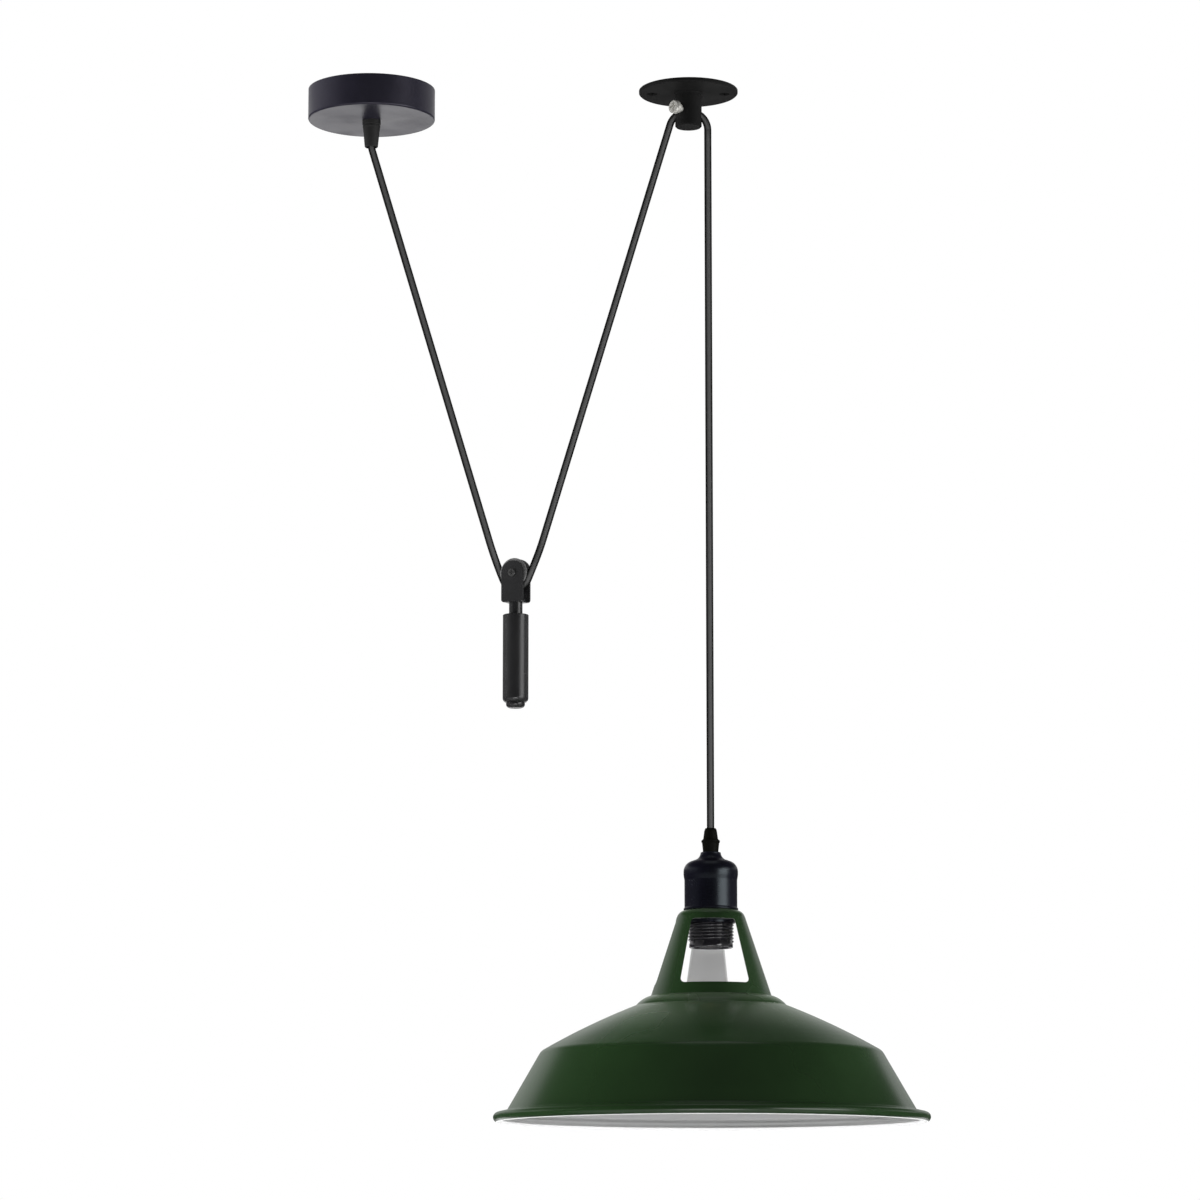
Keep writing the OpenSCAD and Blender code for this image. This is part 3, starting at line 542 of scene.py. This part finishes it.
def finished(piece: BMesh, name: str, material: Material, body: str,
             smooth: float = 0.6) -> Object:
    """Turns a modelled shape into an object on its body.

    Args:
        piece: The shape, which is freed.
        name: The object's name.
        material: Its material.
        body: The body that it rides on, or nothing where a blend moves it.
        smooth: The largest angle, in radians, that still looks smooth.

    Returns:
        The new object.
    """
    mesh = bpy.data.meshes.new(name)
    piece.to_mesh(mesh)
    piece.free()
    mesh.materials.append(material)
    for face in mesh.polygons:
        face.use_smooth = True
    mesh.set_sharp_from_angle(angle=smooth)
    made = bpy.data.objects.new(name, mesh)
    bpy.context.scene.collection.objects.link(made)
    if body:
        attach(made, body)
    LOG.info("made %s with %d faces", name, len(mesh.polygons))
    return made


# ---- Cord ----


def pulled_curve(start: Vector, pull_a: Vector, pull_b: Vector, end: Vector, steps: int) -> Path:
    """A cubic curve between two points.

    Args:
        start: The first point.
        pull_a: The pull on the curve at its start.
        pull_b: The pull on the curve at its end.
        end: The last point.
        steps: How many steps it has.

    Returns:
        Its points, both ends included.
    """
    points = []
    for i in range(steps + 1):
        t = i / steps
        s = 1 - t
        points.append(s ** 3 * start + 3 * s * s * t * (start + pull_a) + 3 * s * t * t * (end - pull_b)
                      + t ** 3 * end)
    return points


def even_path(path: Path, step: float) -> Path:
    """Places points evenly along a path.

    Args:
        path: The path's corners.
        step: The largest distance between two points.

    Returns:
        The new points, with the first and last kept.
    """
    points = [path[0]]
    for a, b in zip(path, path[1:]):
        count = max(1, math.ceil((b - a).length / step))
        points += [a.lerp(b, i / count) for i in range(1, count + 1)]
    return points


@dataclass
class Tube:
    """A round tube along a path, with its own map."""

    path: Path
    radius: float
    sides: int = 24
    round_start: bool = False
    cap_angles: tuple[int, ...] = (20, 40, 60, 75)

    def frames(self) -> list[Matrix]:
        """Finds a cross-section for each point that doesn't twist.

        Returns:
            One matrix a point, with Z along the tube.
        """
        made = []
        side = Vector((0, 1, 0))
        last = len(self.path) - 1
        for i, point in enumerate(self.path):
            ahead = (self.path[min(i + 1, last)] - self.path[max(i - 1, 0)]).normalized()
            side = (side - ahead * side.dot(ahead)).normalized()
            across = ahead.cross(side)
            made.append(Matrix((side, across, ahead)).transposed().to_4x4())
            made[-1].translation = point
        return made

    def shape(self) -> BMesh:
        """Bridges rings along the path and closes both ends.

        Returns:
            The tube.
        """
        bm = bmesh.new()
        frames = self.frames()
        rings = []
        travelled = 0.0
        for i, here in enumerate(frames):
            if i:
                travelled += (self.path[i] - self.path[i - 1]).length
            rings.append((here, self.radius, travelled))
        if self.round_start:
            for angle in map(math.radians, self.cap_angles):
                back = frames[0].copy()
                rise = self.radius * math.sin(angle)
                back.translation = frames[0].translation - frames[0].col[2].to_3d() * rise
                rings.insert(0, (back, self.radius * math.cos(angle), -rise))
        place: dict[bmesh.types.BMVert, tuple[int, float]] = {}
        loops = []
        for i, (here, radius, length) in enumerate(rings):
            made = bmesh.ops.create_circle(bm, cap_ends=False, segments=self.sides, radius=radius,
                                           matrix=here)
            for k, vert in enumerate(made["verts"]):
                place[vert] = (k, length)
            loops.append(list({edge for vert in made["verts"] for edge in vert.link_edges}))
            if i:
                bmesh.ops.bridge_loops(bm, edges=loops[i - 1] + loops[i])
        bmesh.ops.holes_fill(bm, edges=[edge for edge in bm.edges if edge.is_boundary], sides=self.sides)
        bmesh.ops.recalc_face_normals(bm, faces=bm.faces)
        chart = bm.loops.layers.uv.new("braid")
        for face in bm.faces:
            wrapped = {place[vert][0] for vert in face.verts} >= {0, self.sides - 1} and len(face.verts) == 4
            for loop in face.loops:
                k, length = place[loop.vert]
                loop[chart].uv = ((k or (self.sides if wrapped else 0)) / self.sides, length)
        return bm


@dataclass
class Cord:
    """The braided cord, from the canopy round the pulley and over the hook to the lamp."""

    radius: float = 3.0 * MM
    canopy_x: float = -263.0 * MM
    sheath_end: float = -10.0 * MM
    leg_start: float = -46.0 * MM
    cap_end: float = -48.6 * MM
    turn_below: float = 4.4 * MM
    exit_pull: float = 2.6 * MM
    turn_pull: float = 3.0 * MM
    wheel_drop: float = 406.8 * MM
    wrap_radius: float = 12.7 * MM
    wrap_steps: int = 14
    knee_spare: float = 0.5 * MM
    pulley_turn: float = math.radians(28)
    wrap_start: float = math.radians(25)
    knee_height: float = 28.0 * MM
    knee_side: float = 1.6 * MM
    bend_pull: float = 12.0 * MM
    saddle_radius: float = 16.0 * MM
    saddle_z: float = -34.0 * MM
    saddle_steps: int = 24
    lamp_top: float = -615.7 * MM
    lamp_sheath_end: float = -653.5 * MM
    leg_step: float = 6.0 * MM
    fall_step: float = 8.0 * MM
    first_lean: float = math.radians(17)
    ease_in: float = 0.06
    ease_out: float = 0.86
    lean: float = field(init=False)
    wheel_x: float = field(init=False)

    def __post_init__(self) -> None:
        """Finds the angle at which both legs lean alike, and where the wheel hangs."""
        reach = self.wrap_radius + self.knee_spare
        angle = self.first_lean
        for _ in range(6):
            across = -self.canopy_x - self.saddle_radius * math.cos(angle) - 2 * reach / math.cos(angle)
            drop = 2 * self.wheel_drop + self.cap_end + self.saddle_z + self.saddle_radius * math.sin(angle)
            angle = math.atan(across / drop)
        self.lean = angle
        self.wheel_x = (self.canopy_x + (self.wheel_drop + self.cap_end) * math.tan(angle)
                        + reach / math.cos(angle))
        LOG.info("the cord leans %.2f degrees, wheel at x %.5f", math.degrees(angle), self.wheel_x)

    def on_wheel(self, angle: float) -> Vector:
        """A point of the cord round the wheel, at an angle from its right-hand side downwards."""
        across = self.wrap_radius * math.cos(angle)
        return Vector((self.wheel_x + across * math.cos(self.pulley_turn),
                       -across * math.sin(self.pulley_turn),
                       -self.wheel_drop - self.wrap_radius * math.sin(angle)))

    def meeting(self, side: Side) -> float:
        """The angle on the wheel at which a leg meets it."""
        return self.wrap_start if side is Side.RIGHT else math.pi - self.wrap_start

    def wrap(self, side: Side) -> Path:
        """The cord from where it meets the wheel to the wheel's lowest point.

        Args:
            side: The side that it comes down on.

        Returns:
            The points after the first.
        """
        start, end = self.meeting(side), math.pi / 2
        return [self.on_wheel(start + (end - start) * i / self.wrap_steps)
                for i in range(1, self.wrap_steps + 1)]

    def knee_start(self, side: Side) -> Vector:
        """The point at which a leg starts to bend into the plane of the wheel."""
        reach = ((self.wrap_radius + self.knee_spare) / math.cos(self.lean)
                 + self.knee_height * math.tan(self.lean))
        return Vector((self.wheel_x + side.value * reach, -side.value * self.knee_side,
                       -self.wheel_drop + self.knee_height))

    def knee(self, side: Side, run: Vector) -> Path:
        """The bend of a leg into the plane of the wheel.

        Args:
            side: The side that it comes down on.
            run: The direction of the leg.

        Returns:
            The points of the bend.
        """
        back = -side.value * math.sin(self.wrap_start)
        ahead = Vector((back * math.cos(self.pulley_turn), -back * math.sin(self.pulley_turn),
                        -math.cos(self.wrap_start)))
        return pulled_curve(self.knee_start(side), self.bend_pull * run, self.bend_pull * ahead,
                            self.on_wheel(self.meeting(side)), 12)

    def left_path(self) -> Path:
        """The cord from inside the canopy to the bottom of the wheel.

        Returns:
            Its points.
        """
        start = Vector((self.canopy_x, 0, self.leg_start))
        turn = Vector((self.canopy_x + self.turn_below * math.tan(self.lean), 0,
                       self.cap_end - self.turn_below))
        run = (self.knee_start(Side.LEFT) - turn).normalized()
        bend = pulled_curve(start, Vector((0, 0, -self.exit_pull)), self.turn_pull * run, turn, 6)
        path = [Vector((self.canopy_x, 0, self.sheath_end))] + bend + self.knee(Side.LEFT, run)
        return even_path(path + self.wrap(Side.LEFT), self.leg_step)

    def right_path(self) -> Path:
        """The cord from the bottom of the wheel up and over the hook.

        Returns:
            Its points, from the lamp's side of the hook down to the wheel.
        """
        over = []
        for i in range(self.saddle_steps + 1):
            angle = (math.pi - self.lean) * i / self.saddle_steps
            over.append(Vector((self.saddle_radius * math.cos(angle), 0,
                                self.saddle_z + self.saddle_radius * math.sin(angle))))
        run = (self.knee_start(Side.RIGHT) - over[-1]).normalized()
        return even_path(over + self.knee(Side.RIGHT, run) + self.wrap(Side.RIGHT), self.leg_step)

    def fall_path(self) -> Path:
        """The cord from the hook straight down into the lampholder."""
        levels = (self.saddle_z, self.lamp_top, self.lamp_sheath_end)
        return even_path([Vector((self.saddle_radius, 0, z)) for z in levels], self.fall_step)

    def build(self, finishes: Finishes) -> list[Object]:
        """Args:
            finishes: The pendant's finishes.

        Returns:
            The stretches.
        """
        pieces = []
        wheel_top = -self.wheel_drop + self.knee_height
        plans = (
            ("cord_left", self.left_path(), False, ("cord_in_canopy", "cord_left_leg"),
             ("ceiling_fixing", "counterweight"), self.leg_start, wheel_top),
            ("cord_right", self.right_path(), False,
             ("cord_over_hook", "cord_right_leg", "cord_round_pulley"),
             ("ceiling_fixing", "counterweight"), self.saddle_z, wheel_top),
            ("cord_fall", self.fall_path(), True, ("cord_drop", "cord_in_lamp"),
             ("drop_cord", "lamp"), self.saddle_z, self.lamp_top))
        for name, path, hanging, nodes, bodies, high, low in plans:
            shape = Tube(path, self.radius, round_start=hanging).shape()
            piece = finished(shape, name, finishes.braid, "")
            x = path[0].x
            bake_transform(piece, *bodies, start=(x, 0, high), end=(x, 0, low))
            self.even_blend(piece, high, low)
            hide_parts(*nodes)
            pieces.append(piece)
        return pieces

    def even_blend(self, piece: Object, high: float, low: float) -> None:
        """Makes a stretch lengthen evenly, with soft ends, so that a straight leg stays straight.

        Args:
            piece: The stretch of cord, already blended.
            high: The level at which it starts to lengthen.
            low: The level at which it moves with the lower body.
        """
        shares = piece.data.attributes["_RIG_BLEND"]
        pace = 2 / (1 + self.ease_out - self.ease_in)
        for vert, share in zip(piece.data.vertices, shares.data):
            way = min(1.0, max(0.0, (high - vert.co.z) / (high - low)))
            if way < self.ease_in:
                share.value = pace * way ** 2 / (2 * self.ease_in)
            elif way < self.ease_out:
                share.value = pace * (way - self.ease_in / 2)
            else:
                share.value = 1 - pace * (1 - way) ** 2 / (2 * (1 - self.ease_out))


@dataclass
class Cores:
    """The three insulated cores at each end of the cord. A pull bends a core near one of its ends."""

    radius: float = 0.9 * MM
    canopy_x: float = -263.0 * MM
    sheath_end: float = -10.0 * MM
    side_start: Band = (1.1 * MM, 0.6 * MM)
    side_pulls: tuple[Triple, Triple] = ((0, 0, 7 * MM), (0, 5 * MM, -MM))
    block_y: float = 15.0 * MM
    block_half: float = 5.0 * MM
    hole_z: float = -15.8 * MM
    clamp_depth: float = 3.5 * MM
    earth_start_y: float = -1.3 * MM
    earth_pulls: tuple[Triple, Triple] = ((0, 0, 8 * MM), (1.2 * MM, 0, -5 * MM))
    earth_x: float = 10.7 * MM
    earth_z: float = -16.6 * MM
    lamp_x: float = 16.0 * MM
    lamp_end: float = -653.5 * MM
    lamp_start_out: float = 1.25 * MM
    lamp_pulls: tuple[Triple, Triple] = ((0, 0, -3 * MM), (0, 0, -0.6 * MM))
    lamp_pull_out: float = 2.2 * MM
    terminal_radius: float = 8.5 * MM
    terminal_z: float = -677.35 * MM

    def canopy_paths(self) -> dict[str, Path]:
        """The cores in the canopy.

        Returns:
            A path for each node's name.
        """
        paths = {}
        across, back = self.side_start
        for name, way in (("canopy_live_core", -1), ("canopy_neutral_core", 1)):
            start = Vector((self.canopy_x + way * across, back, self.sheath_end))
            end = Vector((self.canopy_x + way * self.block_half, self.block_y, self.hole_z))
            paths[name] = pulled_curve(start, *map(Vector, self.side_pulls), end, 20)
            paths[name].append(end + Vector((0, self.clamp_depth, 0)))
        start = Vector((self.canopy_x, self.earth_start_y, self.sheath_end))
        end = Vector((self.canopy_x + self.earth_x, 0, self.earth_z))
        paths["canopy_earth_core"] = pulled_curve(start, *map(Vector, self.earth_pulls), end, 20)
        return paths

    def lamp_paths(self) -> dict[str, Path]:
        """The cores in the lampholder.

        Returns:
            A path for each node's name.
        """
        paths = {}
        down, inward = map(Vector, self.lamp_pulls)
        for name, degrees in (("lamp_live_core", 210), ("lamp_neutral_core", 330), ("lamp_earth_core", 90)):
            out = Vector((math.cos(math.radians(degrees)), math.sin(math.radians(degrees)), 0))
            start = Vector((self.lamp_x, 0, self.lamp_end)) + self.lamp_start_out * out
            end = Vector((self.lamp_x, 0, self.terminal_z)) + self.terminal_radius * out
            paths[name] = pulled_curve(start, down, self.lamp_pull_out * out + inward, end, 16)
        return paths

    def build(self, finishes: Finishes) -> None:
        """Makes all six cores.

        Args:
            finishes: The pendant's finishes.
        """
        skins = {"live": (finishes.brown, "core_brown"), "neutral": (finishes.blue, "core_blue"),
                 "earth": (finishes.earth, "core_green_yellow")}
        for paths, body in ((self.canopy_paths(), "ceiling_fixing"), (self.lamp_paths(), "lamp")):
            for node, path in paths.items():
                material, slot = skins[node.split("_")[1]]
                piece = finished(Tube(path, self.radius, 16).shape(), node + "_insulated", material, body)
                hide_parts(node)


# ---- Lampholder ----


def revolved(profile: list[tuple[float, float]], axis_x: float, base_z: float, sides: int = 72) -> BMesh:
    """Spins a closed outline round an upright axis.

    Args:
        profile: The outline's corners as distances from the axis and heights, in millimetres.
        axis_x: Where the axis stands on X, in metres.
        base_z: The level that the heights start from, in metres.
        sides: How many steps the spin has.

    Returns:
        The closed ring.
    """
    bm = bmesh.new()
    corners = [bm.verts.new((axis_x + r * MM, 0, base_z + z * MM)) for r, z in profile]
    edges = [bm.edges.new((a, b)) for a, b in zip(corners, corners[1:] + corners[:1])]
    bmesh.ops.spin(bm, geom=corners + edges, cent=(axis_x, 0, 0), axis=(0, 0, 1), angle=2 * math.pi,
                   steps=sides, use_merge=True)
    bmesh.ops.remove_doubles(bm, verts=bm.verts, dist=WELD)
    bmesh.ops.recalc_face_normals(bm, faces=bm.faces)
    return bm


@dataclass
class Holder:
    """The parts of the lampholder that carry a thread. Its measures are in millimetres."""

    lamp_x: float = 16.0 * MM
    top_z: float = -682.0 * MM
    bore: float = 14.8
    root: float = 17.5
    crest: float = 18.3
    flange: float = 19.1
    flange_h: float = 3.0
    drop: float = 30.4
    lip_h: float = 4.2
    chamfer: float = 0.4
    lip_foot: tuple[Band, ...] = ((-0.5, 0.0), (-0.1, 0.2), (0.1, 0.7))
    lip_crown: tuple[Band, ...] = ((0.1, -1.0), (-0.3, -0.6))
    wall_sunk: float = 0.3
    wall_break: float = -1.0
    pitch: float = 2.6
    turns: float = 5.6
    rib_share: float = 0.36
    rib_sunk: float = 0.5
    rib_bulge: float = 0.8
    rib_steps: int = 8
    facets: int = 60
    shell_pitch: float = 3.6
    shell_minor: float = 12.9
    shell_major: float = 13.6
    shell_spare: float = 0.35
    shell_foot: float = 0.5
    wave_steps: int = 10
    sheet: float = 0.28
    foot_collar: tuple[Band, ...] = ((13.3, 0), (13.8, 0), (13.8, 1.6), (13.3, 1.6))
    head_collar: tuple[Band, ...] = ((12.0, -0.5), (12.9, -4.4), (13.9, -4.4), (13.9, -0.7), (13.2, 0),
                                     (6.2, 0), (6.2, -0.5))

    def screwed(self, shape: BMesh, outline: list[Band], closed: bool, pitch: float, turns: float) -> None:
        """Sweeps an outline along a screw round the lamp's axis.

        Args:
            shape: The shape that it is added to.
            outline: Its corners, as distances from the axis in millimetres and levels in metres.
            closed: Whether its last corner joins its first.
            pitch: The rise of one turn in millimetres.
            turns: How many turns it makes.
        """
        corners = [shape.verts.new((self.lamp_x + r * MM, 0, z)) for r, z in outline]
        ends = corners[1:] + corners[:1] if closed else corners[1:]
        edges = [shape.edges.new(pair) for pair in zip(corners, ends)]
        steps = round(self.facets * turns)
        bmesh.ops.spin(shape, geom=corners + edges, cent=(self.lamp_x, 0, 0), axis=(0, 0, 1),
                       dvec=(0, 0, pitch * MM / self.facets), angle=2 * math.pi * steps / self.facets,
                       steps=steps, use_merge=False)

    def skirt(self, finishes: Finishes) -> None:
        """Makes the threaded skirt: a smooth lip and a raised helical thread on a plain tube."""
        foot, wall = -self.drop, self.root - self.wall_sunk
        lip_top = foot + self.lip_h
        shape = revolved(
            [(self.bore, foot + self.chamfer), (self.bore + self.chamfer, foot)]
            + [(self.root + r, foot + z) for r, z in self.lip_foot]
            + [(self.root + r, lip_top + z) for r, z in self.lip_crown]
            + [(wall, self.wall_break), (wall, 0), (self.flange, 0), (self.flange, self.flange_h),
               (self.bore, self.flange_h)], self.lamp_x, self.top_z)
        half = self.pitch * self.rib_share
        rise = self.crest - self.root + self.rib_sunk
        rib = []
        for i in range(self.rib_steps + 1):
            angle = math.pi * i / self.rib_steps
            rib.append((self.crest - rise + rise * math.sin(angle) ** self.rib_bulge,
                        self.top_z + (lip_top + half - half * math.cos(angle)) * MM))
        self.screwed(shape, rib, True, self.pitch, self.turns)
        bmesh.ops.holes_fill(shape, edges=[edge for edge in shape.edges if edge.is_boundary],
                             sides=len(rib))
        bmesh.ops.recalc_face_normals(shape, faces=shape.faces)
        piece = finished(shape, "skirt_thread", finishes.thread, "lamp", smooth=0.9)
        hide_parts("lampholder_skirt")

    def shell(self, finishes: Finishes) -> None:
        """Makes the brass shell with its rolled thread and turned-in top."""
        low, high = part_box("screw_shell")
        tall = (high[2] - low[2]) / MM
        middle = (self.shell_minor + self.shell_major) / 2
        swing = (self.shell_major - self.shell_minor) / 2
        foot = low[2] + self.shell_foot * MM
        wave = [(middle + swing * math.cos(2 * math.pi * i / self.wave_steps),
                 foot + self.shell_pitch * i / self.wave_steps * MM) for i in range(self.wave_steps + 1)]
        shape = bmesh.new()
        self.screwed(shape, wave, False, self.shell_pitch,
                     math.floor(tall / self.shell_pitch - self.shell_spare))
        bmesh.ops.remove_doubles(shape, verts=shape.verts, dist=2 * WELD)
        bmesh.ops.recalc_face_normals(shape, faces=shape.faces)
        bmesh.ops.solidify(shape, geom=list(shape.faces), thickness=self.sheet * MM)
        for outline, level in ((self.foot_collar, 0), (self.head_collar, tall)):
            ring = revolved([(r, level + z) for r, z in outline], self.lamp_x, low[2], self.facets)
            mesh = bpy.data.meshes.new("collar")
            ring.to_mesh(mesh)
            ring.free()
            shape.from_mesh(mesh)
            bpy.data.meshes.remove(mesh)
        piece = finished(shape, "rolled_shell", finishes.brass, "lamp", smooth=0.9)
        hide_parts("screw_shell")


# ---- Studio ----


@dataclass(frozen=True)
class Panel:
    """A soft light panel, with its place and size in metres and its power in watts."""

    name: str
    place: Triple
    size: Band
    power: float
    mirrored: bool = True

    def hang(self, target: Triple) -> Object:
        """Hangs the panel.

        Args:
            target: The point that it faces.

        Returns:
            The light.
        """
        data = bpy.data.lights.new(self.name, "AREA")
        data.shape = "RECTANGLE"
        data.size, data.size_y = self.size
        data.energy = self.power
        lamp = bpy.data.objects.new(self.name, data)
        lamp.location = self.place
        lamp.visible_camera = False
        lamp.visible_glossy = self.mirrored
        lamp.rotation_euler = (Vector(target) - Vector(self.place)).to_track_quat("-Z", "Y").to_euler()
        bpy.context.scene.collection.objects.link(lamp)
        LOG.info("hung %s", self.name)
        return lamp


@dataclass
class Studio:
    """The pale studio with its camera and lights.

    A band is where a light of the surroundings starts and is full, on one axis of the direction.
    """

    camera_at: Triple = (-0.0734, -3.5, -0.98895)
    camera_tilt: float = math.radians(99.094)
    lens: float = 130.43
    sensor: float = 36.0
    floor_z: float = -2.45
    floor_half: float = 9.0
    middle: Triple = (-0.06, 0, -0.45)
    cord_middle: Triple = (-0.1, 0, -0.3)
    cord_panel: Panel = Panel("cord_panel", (-0.1, -1.6, -0.2), (4.0, 1.6), 25.0)
    panels: tuple[Panel, ...] = (
        Panel("cover_panel", (2.36, -1.85, -0.7), (2.2, 1.1), 26.0),
        Panel("low_panel", (-0.1, -3.2, -1.9), (2.0, 0.25), 20.0),
        Panel("weight_panel", (2.7, -1.3, 0.12), (1.9, 0.5), 10.0),
        Panel("left_panel", (-3.0, 0.25, -0.2), (1.5, 2.0), 133.0, mirrored=False),
        Panel("right_panel", (3.0, 0.5, -0.2), (1.5, 2.0), 80.0, mirrored=False),
        Panel("top_panel", (-0.1, 2.8, 1.8), (2.0, 2.0), 300.0, mirrored=False))
    wall_light: float = 0.68
    wall_sides: Band = (-0.1, 0.1)
    wall_top: float = 0.4
    wall_top_fall: float = -0.1
    wall_top_edge: Band = (0.08, 0.0)
    wall_foot: Band = (0.16, 0.26)
    wall_depth: Band = (0.05, 0.35)
    left_light: float = 0.8
    left_foot: Band = (0.12, 0.24)
    left_top: Band = (0.4, 0.3)
    left_edge: Band = (-0.72, -0.9)
    back_width: Band = (0.5, 0.3)
    back_depth: Band = (0.35, 0.55)
    glow_light: float = 0.55
    glow_foot: Band = (0.05, 0.15)
    glow_top: Band = (0.75, 0.3)
    under_light: float = 1.9
    under_top: Band = (-0.15, -0.2)
    under_foot: Band = (-0.5, -0.35)
    low_light: float = 0.8
    low_top: Band = (-0.22, -0.34)
    low_front: Band = (0.1, -0.2)
    high_light: float = 0.5
    high_edge: Band = (0.93, 0.99)
    dim_light: float = 0.08
    fill_light: float = 0.06

    def camera(self) -> None:
        """Makes the camera at the photograph's place."""
        data = bpy.data.cameras.new("camera")
        data.lens, data.sensor_width = self.lens, self.sensor
        data.clip_end = 60.0
        camera = bpy.data.objects.new("camera", data)
        camera.location = self.camera_at
        camera.rotation_euler = (self.camera_tilt, 0, 0)
        bpy.context.scene.collection.objects.link(camera)
        bpy.context.scene.camera = camera

    def floor(self) -> None:
        """Makes the plain pale floor."""
        bm = bmesh.new()
        bmesh.ops.create_grid(bm, x_segments=2, y_segments=2, size=self.floor_half,
                              matrix=Matrix.Translation((0, 0, self.floor_z)))
        mesh = bpy.data.meshes.new("floor")
        bm.to_mesh(mesh)
        bm.free()
        mat = Recipe("floor_paint")
        cloud = mat.noise(mat.place(), 1.2, 2.0)
        mat.link(mat.mix(mat.spread(cloud, 0.0, 1.0), grey(0.80), grey(0.84)),
                 mat.shader.inputs["Base Color"])
        mat.put(Roughness=0.75)
        mesh.materials.append(mat.material)
        floor = bpy.data.objects.new("floor", mesh)
        bpy.context.scene.collection.objects.link(floor)
        floor.visible_glossy = False

    def aim(self, lamp: Object, group: str, pieces: list[Object], state: str) -> None:
        """Makes a light shine on some pieces only, or leave them out.

        Args:
            lamp: The light.
            group: The name of the collection that they go into.
            pieces: The pieces.
            state: INCLUDE or EXCLUDE.
        """
        linked = bpy.data.collections.new(group)
        for piece in pieces:
            linked.objects.link(piece)
        for entry in linked.collection_objects:
            entry.light_linking.link_state = state
        lamp.light_linking.receiver_collection = linked

    def light_cords(self, cords: list[Object]) -> None:
        """Hangs a broad front panel that shines only on the cords, so that their edges stay dark."""
        self.aim(self.cord_panel.hang(self.cord_middle), "lit_cords", cords, "INCLUDE")

    def mirrored_light(self, graph: Graph) -> Socket:
        """Makes the brightness that the gloss reflects: more at the sides, behind and below.

        Args:
            graph: The surroundings' node tree.

        Returns:
            The brightness in each direction.
        """
        def ramp(value: Socket, band: Band, high: float = 1.0) -> Socket:
            """Rises smoothly from nothing to a brightness over a band."""
            return graph.spread(value, 0.0, high, *band, smooth=True)

        x, y, z = graph.parts(graph.node("TexCoord").outputs["Generated"])
        top = graph.plus(graph.times(ramp(x, self.wall_sides), self.wall_top_fall), self.wall_top)
        walls = graph.times(ramp(graph.maths("SUBTRACT", z, top), self.wall_top_edge),
                            ramp(z, self.wall_foot), self.wall_light, ramp(y, self.wall_depth))
        left = graph.times(ramp(z, self.left_foot), ramp(z, self.left_top, self.left_light),
                           ramp(x, self.left_edge))
        glow = graph.times(ramp(z, self.glow_foot), ramp(z, self.glow_top, self.glow_light))
        under = graph.times(ramp(z, self.under_top), ramp(z, self.under_foot, self.under_light))
        back = graph.times(ramp(graph.maths("ABSOLUTE", x), self.back_width),
                           ramp(y, self.back_depth), graph.plus(glow, under))
        below = graph.times(ramp(z, self.low_top, self.low_light), ramp(y, self.low_front))
        above = ramp(z, self.high_edge, self.high_light)
        return graph.plus(graph.maths("MAXIMUM", walls, left, back, below, above), self.dim_light)

    def surroundings(self) -> None:
        """Makes what surrounds the studio: white for the camera, dim for dull surfaces, walls for gloss."""
        world = bpy.data.worlds.new("studio")
        world.use_nodes = True
        bpy.context.scene.world = world
        world.node_tree.nodes.clear()
        graph = Graph(world.node_tree)
        seen = graph.node("LightPath")
        plain = graph.node("Background", Color=(1.0, 1.0, 1.0, 1.0), Strength=1.0)
        lit = graph.node("Background")
        soft = graph.node("Mix")
        graph.link(seen.outputs["Is Diffuse Ray"], soft.inputs["Factor"])
        graph.link(self.mirrored_light(graph), soft.inputs[2])
        graph.link(self.fill_light, soft.inputs[3])
        graph.link(soft.outputs[0], lit.inputs["Strength"])
        both = graph.node("MixShader")
        for source, target in zip((seen.outputs["Is Camera Ray"], lit.outputs[0], plain.outputs[0]),
                                  both.inputs):
            graph.link(source, target)
        graph.link(both.outputs[0], graph.node("OutputWorld").inputs["Surface"])

    def build(self) -> None:
        """Sets the whole studio up."""
        bpy.context.scene.view_settings.view_transform = "Standard"
        self.camera()
        self.floor()
        self.surroundings()
        hung = {panel.name: panel.hang(self.middle) for panel in self.panels}
        self.aim(hung["low_panel"], "dark_from_below", [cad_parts["lampholder_cover"]], "EXCLUDE")


# ---- Carried-over pieces ----


@dataclass
class Dressing:
    """The CAD nodes that keep their shape, by finish."""

    canopy: Names = ("canopy_cup",)
    hook: Names = ("hook_plate",)
    screws: Names = ("hook_screws",)
    weight: Names = ("pulley_yoke", "weight_stem", "weight_cylinder", "weight_end_nut")
    axle: Names = ("pulley_axle",)
    wheel: Names = ("pulley_wheel",)
    grip: Names = ("canopy_grip_collar", "canopy_grip_cap")
    lamp_grip: Names = ("lamp_grip_cap", "lamp_grip_body")
    holder: Names = ("lampholder_cover", "lampholder_dome", "shade_ring")
    nickel: Names = ("clamp_screw",)
    dark_nickel: Names = ("stem_ring",)
    zinc: Names = ("canopy_bracket", "canopy_nipple", "canopy_locknut", "axle_nut", "axle_washers",
                   "weight_rod", "lamp_nipple", "lamp_locknut")
    brass: Names = ("terminal_screws", "earth_screw", "wheel_bush", "centre_contact", "lampholder_screws")
    plastic: Names = ("terminal_block",)
    ceramic: Names = ("lampholder_insert",)
    shade: Names = ("shade",)

    def build(self, finishes: Finishes) -> None:
        """Dresses every node.

        Args:
            finishes: The pendant's finishes.
        """
        for group in fields(self):
            for node in getattr(self, group.name):
                dress(node, getattr(finishes, group.name))


def main() -> None:
    """Builds the pendant and its studio."""
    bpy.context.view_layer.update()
    studio = Studio()
    studio.build()
    finishes = Finishes()
    studio.light_cords(Cord().build(finishes))
    Cores().build(finishes)
    holder = Holder()
    holder.skirt(finishes)
    holder.shell(finishes)
    Dressing().build(finishes)


if __name__ == "__main__":
    main()
